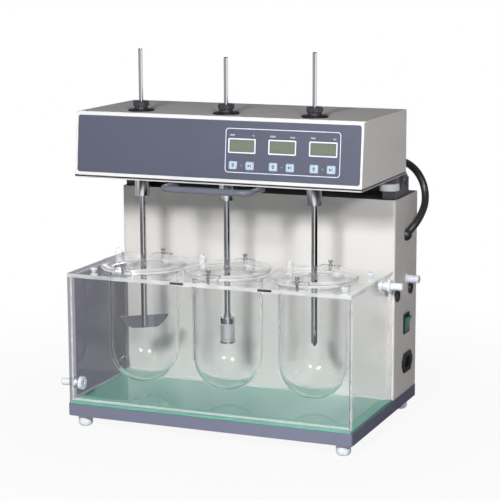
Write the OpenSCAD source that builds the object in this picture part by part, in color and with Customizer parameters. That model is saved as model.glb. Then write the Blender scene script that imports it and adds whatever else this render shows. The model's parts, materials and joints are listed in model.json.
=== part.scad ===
// Bench dissolution tester with three stirring stations.
// A clear water tank holds three round-bottomed glass vessels. A hinged drive head
// on the rear column turns two paddles and a mesh basket inside them.
// Frame: +Z up, front towards -Y, origin on the bench under the middle of the base.

/* [Base] */
// Width of the base tray
base_w = 460; // [456:1:480]
// Depth of the base tray
base_d = 310; // [304:1:330]
// Height of the base tray
tray_h = 19; // [15:0.5:24]
// Height of the feet
foot_h = 19; // [14:0.5:25]
// Diameter of a foot
foot_d = 22; // [18:0.5:26]
// Thickness of the mat under the tank
mat_t = 3; // [2:0.5:5]

/* [Tank] */
// Outer width of the water tank
tank_w = 455; // [446:1:458]
// Outer depth of the water tank
tank_d = 191; // [188:1:196]
// Height of the tank walls
tank_h = 194; // [190:1:202]
// Thickness of the tank walls
tank_wall = 8; // [6:0.5:10]
// Thickness of the plate that carries the vessels
plate_t = 6; // [5:0.5:8]
// Distance from the front of the tank to the stirring axes
station_setback = 85.5; // [83:0.5:88]
// Distance between neighbouring stirring axes
station_pitch = 140; // [137:0.5:142]

/* [Vessels] */
// Outer diameter of a vessel
vessel_od = 107; // [102:0.5:109]
// Thickness of the glass
vessel_wall = 3; // [2:0.1:3.5]
// Length of a vessel from its round bottom to the top of its flange
vessel_len = 184; // [178:1:188]
// Diameter of the vessel's flange
flange_od = 132; // [128:0.5:134]
// Thickness of the vessel's flange
flange_t = 5; // [4:0.5:6]
// Thickness of a lid
lid_t = 5; // [4:0.5:6]
// Width of the lid's slot for the shaft
lid_slot = 14; // [13:0.5:16]
// Height of the lid's knob
knob_h = 23.5; // [20:0.5:30]

/* [Column] */
// Width of the rear column
column_w = 458; // [454:1:470]
// Height of the rear column
column_h = 311; // [303:1:325]
// Thickness of the housings' sheet metal
sheet = 2; // [1.5:0.1:2.5]

/* [Head] */
// Width of the drive head
head_w = 459; // [452:1:472]
// Height of the drive head above its seam
head_h = 95.5; // [92:0.5:105]
// How far the front leans back from its foot to the roof
head_rake = 9; // [5:0.5:12]
// Distance from the stirring axes to the foot of the front
head_nose = 48.5; // [45:0.5:55]
// Clear height between the column and the head
head_gap = 34; // [32:0.5:38]
// Diameter of the hinge pins
hinge_pin_d = 10; // [8:0.5:11]
// Diameter of the handle's bar
handle_d = 9.5; // [7:0.5:10]
// Length of the handle
handle_w = 140; // [110:1:160]

/* [Panel] */
// Width of a display window
display_w = 43; // [36:0.5:46]
// Height of a display window
display_h = 21.6; // [16:0.2:24]
// Width of a key
key_w = 13; // [10:0.5:15]
// Height of a key
key_h = 12; // [9:0.5:14]

/* [Stirring] */
// Diameter of the stirring shafts
shaft_d = 9.4; // [9:0.1:9.6]
// Diameter of the upper rod that the collet grips
rod_d = 6.6; // [6:0.1:8]
// Height of the rods above the roof
rod_rise = 94; // [70:1:110]
// Outer diameter of the bearing sleeves
sleeve_d = 23; // [22.5:0.5:26]
// Length of the sleeves below the head
sleeve_drop = 30; // [22:1:34]
// Width of a paddle's blade
paddle_w = 75; // [70:0.5:78]
// Height of a paddle's blade
paddle_h = 19; // [16:0.5:21]
// Diameter of the basket's wire cage
basket_d = 21.4; // [20:0.2:24]
// Height of the basket's wire cage
basket_h = 33; // [30:0.5:40]

/* [Hidden] */
$fn = 64;

// Overshoot of a cutting tool past the face that it cuts
cut = 1;
// Radial clearance of a turning or sliding fit
run = 0.05;
// Clearance between pieces that pass each other freely
free_gap = 0.3;

// Heights of the base and the tank
tray_top = foot_h + tray_h;
tray_corner = 4;
tray_lip = foot_d + 10;
foot_inset = foot_d / 2 + 8.5;
foot_round = 4;
tank_z0 = tray_top + mat_t;
plate_z0 = tank_z0 + tank_h;
plate_top = plate_z0 + plate_t;
plate_over = 0.5;

// Depths of the tank and the column, which share the base
edge_inset = 1;
tank_y0 = -base_d / 2 + edge_inset;
tank_y1 = tank_y0 + tank_d;
tank_y = (tank_y0 + tank_y1) / 2;
column_gap = 4;
column_y0 = tank_y1 + column_gap;
column_y1 = base_d / 2 - edge_inset;
column_d = column_y1 - column_y0;
column_y = (column_y0 + column_y1) / 2;
column_top = tray_top + column_h;
column_x1 = column_w / 2;
column_corner = 3;

// Stirring stations
stations = [0:2];
station_y = tank_y0 + station_setback;
function station_x(i) = (i - 1) * station_pitch;

// Vessels and lids
vessel_r = vessel_od / 2;
vessel_ir = vessel_r - vessel_wall;
flange_top = plate_top + flange_t;
vessel_z0 = flange_top - vessel_len;
vessel_floor = vessel_z0 + vessel_wall;
vessel_hole_gap = 0.75;
lid_r = flange_od / 2;
lid_step = 2;
lid_step_gap = 1;
knob_r = 5.3;
knob_x = -29;
knob_y = -26;
port_r = 6;
port_x = 27;
port_y = 22;

// Clamps that hold the vessels' flanges at the front and the back
clamp_w = 30;
clamp_lap = 6.5;
clamp_inner = lid_r - clamp_lap;
clamp_outer = lid_r + 9;
clamp_step = lid_r + 1;
clamp_h = flange_t + 5;
clamp_notch_gap = 1.5;
clamp_screw_y = lid_r + 4.5;
clamp_screw_r = 2;
clamp_head_r = 3.5;
clamp_head_h = 8;

// Pegs that locate the plate, and rubber buffers in its front edge
peg_r = 3;
peg_head_r = 5.5;
peg_head_h = 3;
peg_foot_h = 4;
peg_inset = 24;
peg_flange_gap = 5.5;
peg_setback_front = 42;
peg_setback_back = 36;
peg_x = tank_w / 2 - peg_inset;
peg_reach = flange_od / 2 + peg_head_r + peg_flange_gap;
peg_side = peg_x - station_pitch;
peg_clear = sqrt(max(pow(peg_reach, 2) - pow(peg_side, 2), 0));
peg_y_front = min(tank_y0 + peg_setback_front, station_y - peg_clear);
peg_y_back = max(tank_y1 - peg_setback_back, station_y + peg_clear);
buffer_w = 22;
buffer_d = 3;
buffer_h = 3.4;
buffer_shift = 25;

// Hose nipples through the tank's side walls
nipple_reach = 22.5;
nipple_r = 5.6;
nipple_bore_r = 3.6;
nipple_shank_r = 6;
nipple_flange_r = 10.2;
nipple_flange_h = 6;
nipple_collar_r = 8;
nipple_collar_h = 4;
nipple_chamfer = 0.8;
drain_y = tank_y0 + tank_wall + 12;
drain_z = tank_z0 + tank_wall + 17;
inlet_y = tank_y1 - tank_wall - 11;
inlet_z = plate_z0 - 13;

// Fittings on the right side of the column
side_y = column_y + 1;
socket_z = column_top - 131;
socket_y = side_y + 4;
socket_flange_r = 8;
socket_r = 6;
socket_shank_r = 5.5;
socket_reach = 21;
socket_flange_h = 2.5;
socket_nut_h = 3;
socket_tail = 6;
socket_grooves = [6, 13];
socket_groove = [1, 0.5];
tip_chamfer = 1;
plug_z = column_top - 149;
plug_r = 9;
plug_shank_r = 7;
plug_rear_y = column_y1 - 34;
plug_front_y = column_y0 + 12;
switch_z = tray_top + 110;
switch_y = side_y + 3;
switch_w = 28;
switch_h = 32;
switch_body_w = 25;
switch_body_h = 29;
switch_deep = 18;
switch_lip = 2;
rocker_w = 21.4;
rocker_half = 12.2;
rocker_tilt = 12;
rocker_t = 12;
rocker_dip = 2;
rocker_taper = 4;
rocker_swing = 1.4;
rocker_x = column_x1 - 1;
rocker_pin_r = 1.5;
rocker_pin_short = 0.5;
inlet_socket_z = tray_top + 47;
inlet_socket_y = side_y + 8;
inlet_flange_w = 50;
inlet_flange_h = 31;
inlet_body_w = 30;
inlet_body_h = 25;
inlet_deep = 20;
inlet_recess_w = 24;
inlet_recess_h = 16.6;
inlet_recess_deep = 16;
inlet_lip_h = 2.5;
inlet_ear = 9;
inlet_ear_h = 8;
inlet_key = 5;
grommet_h = 3;
grommet_dish = 1.5;
grommet_back_h = 2;

// Hinge of the head
hinge_y = column_y0 + 61;
hinge_rise = 21;
bracket_w = 20;
bracket_inset = 3;
bracket_x0 = column_x1 - bracket_inset - bracket_w;
bracket_h = 12;
bracket_front = column_y0 + 8;
pad_r = 15;
pad_h = 11;
pad_x = column_x1 - 16;
pad_y = bracket_front + 13;
pad_top = column_top + bracket_h + pad_h;
hinge_z = column_top + hinge_rise;
hinge_r = hinge_pin_d / 2;
ear_r = 13;
ear_slope = 6;
guard_t = 3;
guard_h = 27;
lug_r = 11;
lug_w = 15.5;
lug_gap = 0.5;
lug_foot = 16;
lug_x0 = bracket_x0 - lug_gap - lug_w;
pin_recess = 3;
pin_recess_r = hinge_r + 2;
pin_short = 1;

// Heights and faces of the head
head_y0 = station_y - head_nose;
head_y1 = hinge_y - 10;
floor_z0 = column_top + head_gap;
floor_t = 3;
floor_step = 2;
seam = 1;
floor_top = floor_z0 + floor_t;
cover_z0 = floor_top + seam;
head_top = cover_z0 + head_h;
front_angle = atan(head_rake / head_h);
front_len = head_h / cos(front_angle);
head_round = 4;

// Front bezel and panel, in the plane of the leaning front
bezel_side = 3.5;
bezel_edge = 5;
bezel_deep = 6;
bezel_lip = 4;
panel_t = 3;
panel_recess = 0.5;
panel_corner = 4;
panel_w = head_w - 2 * bezel_side;
panel_h = front_len - 2 * bezel_edge;
display_pitch = 63;
display_x0 = 43;
display_z = front_len * 0.568;
display_deep = 6;
display_recess = 0.8;
key_offset = 13.1;
key_z = front_len * 0.27;
key_proud = 0.6;
key_flange = 1;
key_round = 2;

// Handle below the front of the head
handle_r = handle_d / 2;
handle_reach = 33;
handle_post_setback = 19;
handle_y = head_y0 - handle_reach;
handle_post_y = head_y0 + handle_post_setback;
handle_clear = 0.7;
handle_z = floor_z0 - handle_r - handle_clear;
handle_bend = 14;
handle_boss_r = 8;
handle_boss_h = 2.5;

// Spindles, bearings and belts
shaft_r = shaft_d / 2;
rod_r = rod_d / 2;
sleeve_r = sleeve_d / 2;
sleeve_z0 = floor_z0 - sleeve_drop;
sleeve_top = floor_top + 34;
sleeve_flange_r = 18;
sleeve_flange_h = 4;
sleeve_wall = 1.5;
bearing_r = sleeve_r - sleeve_wall;
bearing_h = 8;
bearing_inset = 1;
spindle_r = 6.5;
neck_r = 9;
pulley_r = 15;
pulley_flange_r = 18;
pulley_lip = 1;
belt_w = 7.6;
belt_side = 0.2;
belt_t = 2;
belt_gap = 0.1;
track_h = belt_w + 2 * (belt_side + pulley_lip);
track_pitch = track_h + 1;
track_z0 = sleeve_top + 5;
neck_z0 = track_z0 + 3 * track_pitch;
washer_t = 2.5;
washer_r = 19.8;
neck_top = head_top + washer_t;
collet_r = 7.5;
collet_h = 10;
collet_root = 3;
collet_slit = 1;
nut_h = 13;
nut_grip_h = 8;
nut_knurls = 24;
nut_knurl_r = 0.9;
nut_r = 12.2;
nut_skirt_r = 10.5;
nut_cap = 1.8;
bore_top = neck_z0 + 10;
roof_hole_r = neck_r + 2;
spindle_tracks = [[1], [0, 1, 2], [2]];
motor_setback = 94;
motor_y = station_y + motor_setback;
motor_w = 57;
motor_round = 5;
motor_boss_r = 19;
motor_boss_h = 2;
motor_gap = 4;
motor_floor = 6;
motor_shaft_r = 4;

// Stirrers, by their height above the bottom of the vessel, and how much lower a rod ends
paddle_rise = [81.5, 69.7, 81];
paddle_angle = [36, 0, 112];
rod_drop = [0, 10, 0];
paddle_t = 4;
paddle_arc = 41.5;
shaft_step_z = floor_z0 + 7;
cap_r = basket_d / 2 + 0.3;
cap_h = 6;
cap_hub_r = 6;
cap_hub_h = 5.5;
cage_wall = 1;
cage_rim = 3;
cage_rim_out = 1.1;
cage_rows = 4;
cage_columns = 16;
cage_window = 2.8;
cage_wire = 1.2;
cage_hole_r = 1.5;
cage_hole_pitch = 4.4;
cap_vent_r = 1;
cap_vent_inset = 3;
function stirrer_z(i) = vessel_floor + paddle_rise[i];
basket_z0 = stirrer_z(1);
cap_z0 = basket_z0 + basket_h;

// Cable between the head and the column: its bushes, its size and its route
gland_y = hinge_y - 5;
gland_z = column_top - 61;
gland_r = 9.5;
gland_shank_r = 8;
head_gland_x = column_x1 - 21;
head_gland_z = floor_z0 + 19;
head_gland_r = 9;
head_gland_shank_r = 7;
head_gland_deep = 7;
cable_d = 11.5;
cable_sides = 10;
cable_route = [
    [208, 99, 402], [209, 113, 401], [214, 128, 397], [222, 142, 389], [230, 152, 377],
    [237, 156, 362], [242, 153, 346], [245, 142, 331], [245, 125, 318], [241, 110, 305],
    [232, 98.5, 291.5]
];

// A rectangle with round corners, centred
module rounded(w, h, r) {
    square([w - 2 * r, h], center = true);
    square([w, h - 2 * r], center = true);
    for (x = [-1, 1], y = [-1, 1])
        translate([x * (w / 2 - r), y * (h / 2 - r)]) circle(r);
}

// A rounded upright block standing on height z
module block(w, d, h, r, z) {
    translate([0, 0, z]) linear_extrude(h) rounded(w, d, r);
}

// A profile drawn in depth and height, extruded along X about the middle
module along_x(w) {
    translate([-w / 2, 0, 0]) rotate([90, 0, 90]) linear_extrude(w) children();
}

// The same profile from x0 on
module from_x(x0, w) {
    translate([x0, 0, 0]) rotate([90, 0, 90]) linear_extrude(w) children();
}

// Round rods along the three axes
module rod_x(x0, x1, y, z, r) {
    translate([x0, y, z]) rotate([0, 90, 0]) cylinder(r = r, h = x1 - x0);
}

module rod_y(y0, y1, x, z, r) {
    translate([x, y0, z]) rotate([-90, 0, 0]) cylinder(r = r, h = y1 - y0);
}

module rod_z(z0, z1, r) {
    translate([0, 0, z0]) cylinder(r = r, h = z1 - z0);
}

// The chamfered last bit of an upright rod
module chamfered_end(z1, r) {
    translate([0, 0, z1 - tip_chamfer])
        cylinder(r1 = r, r2 = r - tip_chamfer, h = tip_chamfer);
}

module both_sides() {
    children();
    mirror([1, 0, 0]) children();
}

module at_station(i) {
    translate([station_x(i), station_y, 0]) children();
}

module at_stations() {
    for (i = stations) at_station(i) children();
}

// The front's own frame: X across, Z up the slope, -Y outwards
module on_front() {
    translate([0, head_y0, cover_z0]) rotate([-front_angle, 0, 0]) children();
}

// An upright plate in the front's frame, between two depths
module front_plate(w, h, r, y0, y1, x, z) {
    translate([x, y1, z]) rotate([90, 0, 0]) linear_extrude(y1 - y0) rounded(w, h, r);
}

module base_tray() {
    color("#8d90a0") difference() {
        block(base_w, base_d, tray_h, tray_corner, foot_h);
        block(base_w - 2 * sheet, base_d - 2 * sheet, tray_h - 2 * sheet,
            tray_corner - sheet / 2, foot_h + sheet);
        block(base_w - 2 * tray_lip, base_d - 2 * tray_lip, sheet + cut, tray_corner,
            foot_h - cut / 2);
    }
}

module feet() {
    color("#e4e6e8")
        for (x = [-1, 1], y = [-1, 1])
            translate([x * (base_w / 2 - foot_inset), y * (base_d / 2 - foot_inset), 0])
                rotate_extrude() {
                    square([foot_d / 2 - foot_round, foot_h]);
                    translate([0, foot_round]) square([foot_d / 2, foot_h - foot_round]);
                    intersection() {
                        translate([foot_d / 2 - foot_round, foot_round]) circle(foot_round);
                        square([foot_d, foot_h]);
                    }
                }
}

module base_mat() {
    color("#79b49c") translate([0, tank_y, 0])
        block(tank_w + 2 * plate_over, tank_d + 2 * plate_over, mat_t, 2, tray_top);
}

module tank() {
    color("#c9d6da") difference() {
        translate([-tank_w / 2, tank_y0, tank_z0]) cube([tank_w, tank_d, tank_h]);
        translate([-tank_w / 2 + tank_wall, tank_y0 + tank_wall, tank_z0 + tank_wall])
            cube([tank_w - 2 * tank_wall, tank_d - 2 * tank_wall, tank_h]);
        rod_x(-tank_w, 0, drain_y, drain_z, nipple_shank_r);
        rod_x(0, tank_w, inlet_y, inlet_z, nipple_shank_r);
    }
}

module buffer_places() {
    for (i = [0, 1])
        translate([station_x(i) + station_pitch / 2 + buffer_shift - buffer_w / 2,
            tank_y0 - plate_over, plate_z0 + (plate_t - buffer_h) / 2])
            children();
}

module peg_places() {
    for (x = [-peg_x, peg_x], y = [peg_y_front, peg_y_back])
        translate([x, y, 0]) children();
}

module clamp_places() {
    at_stations() for (turn = [0, 180]) rotate([0, 0, turn]) children();
}

module vessel_plate() {
    color("#cfdcd9") difference() {
        translate([0, tank_y, 0])
            block(tank_w + 2 * plate_over, tank_d + 2 * plate_over, plate_t, 2, plate_z0);
        at_stations() rod_z(plate_z0 - cut, plate_top + cut, vessel_r + vessel_hole_gap);
        peg_places() rod_z(plate_z0 - cut, plate_top + cut, peg_r);
        clamp_places() translate([0, clamp_screw_y, 0])
            rod_z(plate_z0 - cut, plate_top + cut, clamp_screw_r);
        buffer_places() translate([0, -cut, 0]) cube([buffer_w, buffer_d + cut, buffer_h]);
    }
}

module plate_pegs() {
    color("#f2f2ef") peg_places() {
        rod_z(plate_top, plate_top + peg_head_h, peg_head_r);
        rod_z(plate_z0 - peg_foot_h, plate_top + peg_head_h, peg_r);
        rod_z(plate_z0 - peg_foot_h, plate_z0, peg_head_r);
    }
}

module plate_buffers() {
    color("#26272a") buffer_places() cube([buffer_w, buffer_d, buffer_h]);
}

// Round-bottomed glass vessel that hangs in the plate by its flange
module vessel(i) {
    color("#dfe7ea") at_station(i) translate([0, 0, vessel_z0]) rotate_extrude()
        difference() {
            union() {
                intersection() {
                    translate([0, vessel_r]) circle(vessel_r);
                    square(vessel_r);
                }
                translate([0, vessel_r]) square([vessel_r, vessel_len - vessel_r]);
                translate([0, vessel_len - flange_t])
                    square([flange_od / 2 - flange_t / 2, flange_t]);
                translate([flange_od / 2 - flange_t / 2, vessel_len - flange_t / 2])
                    circle(flange_t / 2);
            }
            intersection() {
                translate([0, vessel_r]) circle(vessel_ir);
                square(vessel_r);
            }
            translate([0, vessel_r]) square([vessel_ir, vessel_len]);
        }
}

// Clear lid with a slot for the shaft, a sampling port, clamp notches and a knob
module lid(i) {
    color("#e6ecee") at_station(i) {
        difference() {
            union() {
                rod_z(flange_top, flange_top + lid_t, lid_r);
                rod_z(flange_top - lid_step, flange_top + lid_t, vessel_ir - lid_step_gap);
            }
            rod_z(flange_top - lid_step - cut, flange_top + lid_t + cut, lid_slot / 2);
            translate([-lid_slot / 2, -lid_r - cut, flange_top - lid_step - cut])
                cube([lid_slot, lid_r + cut, lid_t + lid_step + 2 * cut]);
            translate([port_x, port_y, 0])
                rod_z(flange_top - lid_step - cut, flange_top + lid_t + cut, port_r);
            for (turn = [0, 180]) rotate([0, 0, turn])
                translate([-clamp_w / 2 - clamp_notch_gap, clamp_inner - clamp_notch_gap,
                    flange_top - cut])
                    cube([clamp_w + 2 * clamp_notch_gap, lid_r, lid_t + 2 * cut]);
        }
        translate([knob_x, knob_y, 0]) {
            rod_z(flange_top, flange_top + lid_t + knob_h - knob_r, knob_r);
            translate([0, 0, flange_top + lid_t + knob_h - knob_r]) sphere(knob_r);
        }
    }
}

module clamp_bars() {
    color("#d7dfe0") clamp_places() difference() {
        union() {
            translate([-clamp_w / 2, clamp_step, plate_top])
                cube([clamp_w, clamp_outer - clamp_step, clamp_h]);
            translate([-clamp_w / 2, clamp_inner, flange_top])
                cube([clamp_w, clamp_outer - clamp_inner, clamp_h - flange_t]);
        }
        translate([0, clamp_screw_y, 0])
            rod_z(plate_top - cut, plate_top + clamp_h + cut, clamp_screw_r);
    }
}

module clamp_screws() {
    top = plate_top + clamp_h;
    color("#c4c7cc") clamp_places() translate([0, clamp_screw_y, 0]) {
        rod_z(plate_z0, top + clamp_head_h / 2, clamp_screw_r);
        rod_z(top, top + clamp_head_h / 4, clamp_head_r);
        difference() {
            rod_z(top + clamp_head_h / 2, top + clamp_head_h, clamp_head_r);
            for (turn = [0:30:330]) rotate([0, 0, turn]) translate([clamp_head_r, 0, 0])
                rod_z(top, top + clamp_head_h + cut, clamp_head_r / 8);
        }
    }
}

// Holes in the right side of the column for its fittings
module side_holes() {
    x0 = column_x1 - sheet - cut;
    x1 = column_x1 + cut;
    rod_x(x0, x1, socket_y, socket_z, socket_shank_r);
    rod_x(x0, x1, plug_rear_y, plug_z, plug_shank_r);
    rod_x(x0, x1, plug_front_y, plug_z, plug_shank_r);
    rod_x(x0, x1, gland_y, gland_z, gland_shank_r);
    from_x(x0, x1 - x0) translate([switch_y, switch_z])
        square([switch_body_w, switch_body_h], center = true);
    from_x(x0, x1 - x0) translate([inlet_socket_y, inlet_socket_z])
        square([inlet_body_w, inlet_body_h], center = true);
}

module column_shell() {
    color("#cbc9c4") difference() {
        translate([0, column_y, 0])
            block(column_w, column_d, column_h, column_corner, tray_top);
        translate([-column_w / 2 + sheet, column_y0 + sheet, tray_top - cut])
            cube([column_w - 2 * sheet, column_d, column_h - sheet + cut]);
        translate([-column_w / 2 - cut, column_y1 - sheet, tray_top - cut])
            cube([column_w + 2 * cut, sheet + cut, column_h + 2 * cut]);
        side_holes();
    }
}

// Rear cover of the column with two stacks of vents
module column_back() {
    slot_w = 70;
    slot_h = 4;
    slot_pitch = 12;
    slot_rows = 8;
    slot_z0 = tray_top + 60;
    slot_round = slot_h / 2 - 0.1;
    color("#c2c0bb") difference() {
        translate([-column_w / 2, column_y1 - sheet, tray_top])
            cube([column_w, sheet, column_h]);
        for (x = [-1, 1], row = [0:slot_rows - 1])
            translate([x * column_w / 4, column_y1 - sheet - cut, slot_z0 + row * slot_pitch])
                rotate([-90, 0, 0]) linear_extrude(sheet + 2 * cut)
                    rounded(slot_w, slot_h, slot_round);
    }
}

// Side view of a fixed bracket: a low bar in front and an ear round the pin behind
module bracket_profile() {
    translate([bracket_front, column_top]) square([hinge_y + ear_r - bracket_front, bracket_h]);
    translate([hinge_y, hinge_z]) circle(ear_r);
    translate([hinge_y - ear_r, column_top]) square([2 * ear_r, hinge_z - column_top]);
    polygon([
        [pad_y + pad_r + 1, column_top + bracket_h], [hinge_y - ear_r, column_top + bracket_h],
        [hinge_y - ear_r, hinge_z], [hinge_y - ear_r - ear_slope, hinge_z]
    ]);
}

// Two brackets and the guard plate that joins them behind the hinge
module hinge_brackets() {
    bracket_x1 = bracket_x0 + bracket_w;
    color("#62606a") {
        both_sides() difference() {
            from_x(bracket_x0, bracket_w) bracket_profile();
            rod_x(bracket_x0 - cut, bracket_x1 + cut, hinge_y, hinge_z, hinge_r);
            rod_x(bracket_x1 - pin_recess, bracket_x1 + cut, hinge_y, hinge_z, pin_recess_r);
        }
        translate([-bracket_x1, hinge_y + ear_r, column_top])
            cube([2 * bracket_x1, guard_t, guard_h]);
    }
}

module hinge_pins() {
    color("#d5d7da") both_sides()
        rod_x(lug_x0 + pin_short, bracket_x0 + bracket_w - pin_short, hinge_y, hinge_z,
            hinge_r);
}

module rest_pads() {
    color("#eceef0") both_sides() translate([pad_x, pad_y, 0]) {
        rod_z(column_top + bracket_h, pad_top - tip_chamfer, pad_r);
        chamfered_end(pad_top, pad_r);
    }
}

module sensor_socket() {
    back = -sheet;
    color("#d4d6dc") translate([column_x1, socket_y, socket_z]) rotate([0, 90, 0])
        difference() {
            union() {
                rod_z(back - socket_tail, 0, socket_shank_r);
                rod_z(back - socket_nut_h, back, socket_flange_r);
                rod_z(0, socket_flange_h, socket_flange_r);
                rod_z(socket_flange_h, socket_reach - tip_chamfer, socket_r);
                chamfered_end(socket_reach, socket_r);
            }
            for (z = socket_grooves) difference() {
                rod_z(z, z + socket_groove[0], socket_r + cut);
                rod_z(z - cut, z + socket_groove[0] + cut, socket_r - socket_groove[1]);
            }
        }
}

// Rubber plugs in the spare hose holes, and the domed bush round the cable
module column_grommets() {
    x = column_x1;
    color("#1d1e20") {
        for (y = [plug_rear_y, plug_front_y]) {
            rod_x(x - sheet, x, y, plug_z, plug_shank_r);
            rod_x(x - sheet - grommet_back_h, x - sheet, y, plug_z, plug_r);
            difference() {
                rod_x(x, x + grommet_h, y, plug_z, plug_r);
                rod_x(x + grommet_dish, x + grommet_h + cut, y, plug_z, plug_shank_r);
            }
        }
        rod_x(x - sheet, x, gland_y, gland_z, gland_shank_r);
        rod_x(x - sheet - grommet_back_h, x - sheet, gland_y, gland_z, gland_r);
        intersection() {
            translate([x, gland_y, gland_z]) sphere(gland_r);
            rod_x(x, x + gland_r + cut, gland_y, gland_z, gland_r + cut);
        }
    }
}

// Frame and housing of the mains switch, with the holes for the rocker's pins
module switch_bezel() {
    x = column_x1;
    open_h = 2 * (rocker_half + rocker_swing);
    color("#1f2023") translate([0, switch_y, switch_z]) difference() {
        union() {
            from_x(x, switch_lip) rounded(switch_w, switch_h, switch_lip);
            from_x(x - switch_deep, switch_deep)
                square([switch_body_w, switch_body_h], center = true);
        }
        from_x(x - switch_deep + switch_lip, switch_deep + switch_lip)
            square([rocker_w + 2 * free_gap, open_h], center = true);
        rod_y(-switch_body_w / 2 - cut, switch_body_w / 2 + cut, rocker_x, 0,
            rocker_pin_r + run);
    }
}

module power_rocker() {
    t = rocker_t / 2;
    pin = switch_body_w / 2 - rocker_pin_short;
    color("#3f9c7c") translate([rocker_x, switch_y, switch_z]) {
        rotate([0, rocker_tilt, 0]) rotate([90, 0, 0])
            linear_extrude(rocker_w, center = true)
                polygon([
                    [t, rocker_half], [t - rocker_dip, 0], [t, -rocker_half],
                    [-t, rocker_taper - rocker_half], [-t, rocker_half - rocker_taper]
                ]);
        rod_y(-pin, pin, 0, 0, rocker_pin_r);
    }
}

module power_inlet() {
    x = column_x1;
    w = inlet_flange_w / 2;
    h = inlet_flange_h / 2;
    ear = inlet_ear_h / 2;
    shoulder = w - inlet_ear;
    rw = inlet_recess_w / 2;
    rh = inlet_recess_h / 2;
    color("#232428") translate([0, inlet_socket_y, inlet_socket_z]) difference() {
        union() {
            from_x(x, inlet_lip_h) polygon([
                [-w, -ear], [-shoulder, -h], [shoulder, -h], [w, -ear], [w, ear],
                [shoulder, h], [-shoulder, h], [-w, ear]
            ]);
            from_x(x - inlet_deep, inlet_deep)
                square([inlet_body_w, inlet_body_h], center = true);
        }
        from_x(x + inlet_lip_h - inlet_recess_deep, inlet_recess_deep + cut) polygon([
            [-rw, -rh], [rw, -rh], [rw, rh - inlet_key], [rw - inlet_key, rh],
            [inlet_key - rw, rh], [-rw, rh - inlet_key]
        ]);
    }
}

// Nipple through a wall that runs from the inside to the outside in +X
module hose_nipple(wall_x, collar_r) {
    inside = wall_x - tank_wall;
    tip = wall_x + nipple_reach;
    difference() {
        union() {
            rod_x(inside - nipple_flange_h, inside, 0, 0, nipple_flange_r);
            rod_x(inside, wall_x, 0, 0, nipple_shank_r);
            rod_x(wall_x, wall_x + nipple_collar_h, 0, 0, collar_r);
            rod_x(wall_x + nipple_collar_h, tip - nipple_chamfer, 0, 0, nipple_r);
            translate([tip - nipple_chamfer, 0, 0]) rotate([0, 90, 0])
                cylinder(r1 = nipple_r, r2 = nipple_r - nipple_chamfer, h = nipple_chamfer);
        }
        rod_x(inside - nipple_flange_h - cut, tip + cut, 0, 0, nipple_bore_r);
    }
}

module hose_nipples() {
    color("#f4f4f2") {
        translate([0, inlet_y, inlet_z]) hose_nipple(tank_w / 2, nipple_flange_r);
        mirror([1, 0, 0]) translate([0, drain_y, drain_z])
            hose_nipple(tank_w / 2, nipple_collar_r);
    }
}

// Water pump on its foot beside the upright heating tube, inside the column
module circulation_heater() {
    pump_x = -110;
    heater_x = 40;
    foot_t = 4;
    foot_size = [120, 60];
    saddle = [8, 40];
    saddle_x = 32;
    pump_r = 26;
    pump_half = 45;
    volute_r = 20;
    volute_l = 15;
    spout_r = 6;
    spout_l = 10;
    heater_r = 22;
    heater_base_r = 30;
    heater_h = 190;
    heater_cap_r = 8;
    heater_cap_h = 15;
    axis_z = tray_top + foot_t + pump_r + foot_t;
    color("#7c8088") {
        translate([pump_x, column_y, 0]) {
            block(foot_size[0], foot_size[1], foot_t, foot_t, tray_top);
            for (x = [-saddle_x, saddle_x])
                translate([x - saddle[0] / 2, -saddle[1] / 2, tray_top + foot_t])
                    cube([saddle[0], saddle[1], axis_z - tray_top - foot_t]);
            rod_x(-pump_half, pump_half, 0, axis_z, pump_r);
            rod_x(pump_half, pump_half + volute_l, 0, axis_z, volute_r);
            translate([pump_half + volute_l / 2, 0, 0])
                rod_z(axis_z, axis_z + volute_r + spout_l, spout_r);
        }
        translate([heater_x, column_y, 0]) {
            rod_z(tray_top, tray_top + foot_t, heater_base_r);
            rod_z(tray_top, tray_top + heater_h, heater_r);
            rod_z(tray_top + heater_h, tray_top + heater_h + heater_cap_h, heater_cap_r);
        }
    }
}

// A smooth chain of points through the route, two steps to each leg
function between(a, b, c, d) = 0.5625 * (b + c) - 0.0625 * (a + d);
function leg_mid(p, i) =
    between(p[max(i - 1, 0)], p[i], p[i + 1], p[min(i + 2, len(p) - 1)]);
function chain(p) = [
    for (i = [0:len(p) - 2]) each [p[i], leg_mid(p, i)], p[len(p) - 1]
];
function unit(v) = v / norm(v);
function heading(p, i) =
    i == 0 ? [0, 1, 0] : unit(p[min(i + 1, len(p) - 1)] - p[i - 1]);
function ring(p, i, r, n) =
    let (t = heading(p, i), u = unit(cross(t, [1, 0, 0])), v = cross(t, u))
    [for (k = [0:n - 1]) p[i] + r * (cos(360 * k / n) * u + sin(360 * k / n) * v)];

// A tube along a chain of points, closed at both ends
module tube_along(p, r, n) {
    last = len(p) - 1;
    sides = [
        for (i = [0:last - 1], k = [0:n - 1])
            let (a = i * n + k, b = i * n + (k + 1) % n)
            each [[a, b, b + n], [a, b + n, a + n]]
    ];
    near = [for (k = [1:n - 2]) [0, k + 1, k]];
    far = [for (k = [1:n - 2]) [last * n, last * n + k, last * n + k + 1]];
    polyhedron([for (i = [0:last]) each ring(p, i, r, n)], concat(sides, near, far));
}

module signal_cable() {
    color("#26272b") tube_along(chain(cable_route), cable_d / 2, cable_sides);
}

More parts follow.
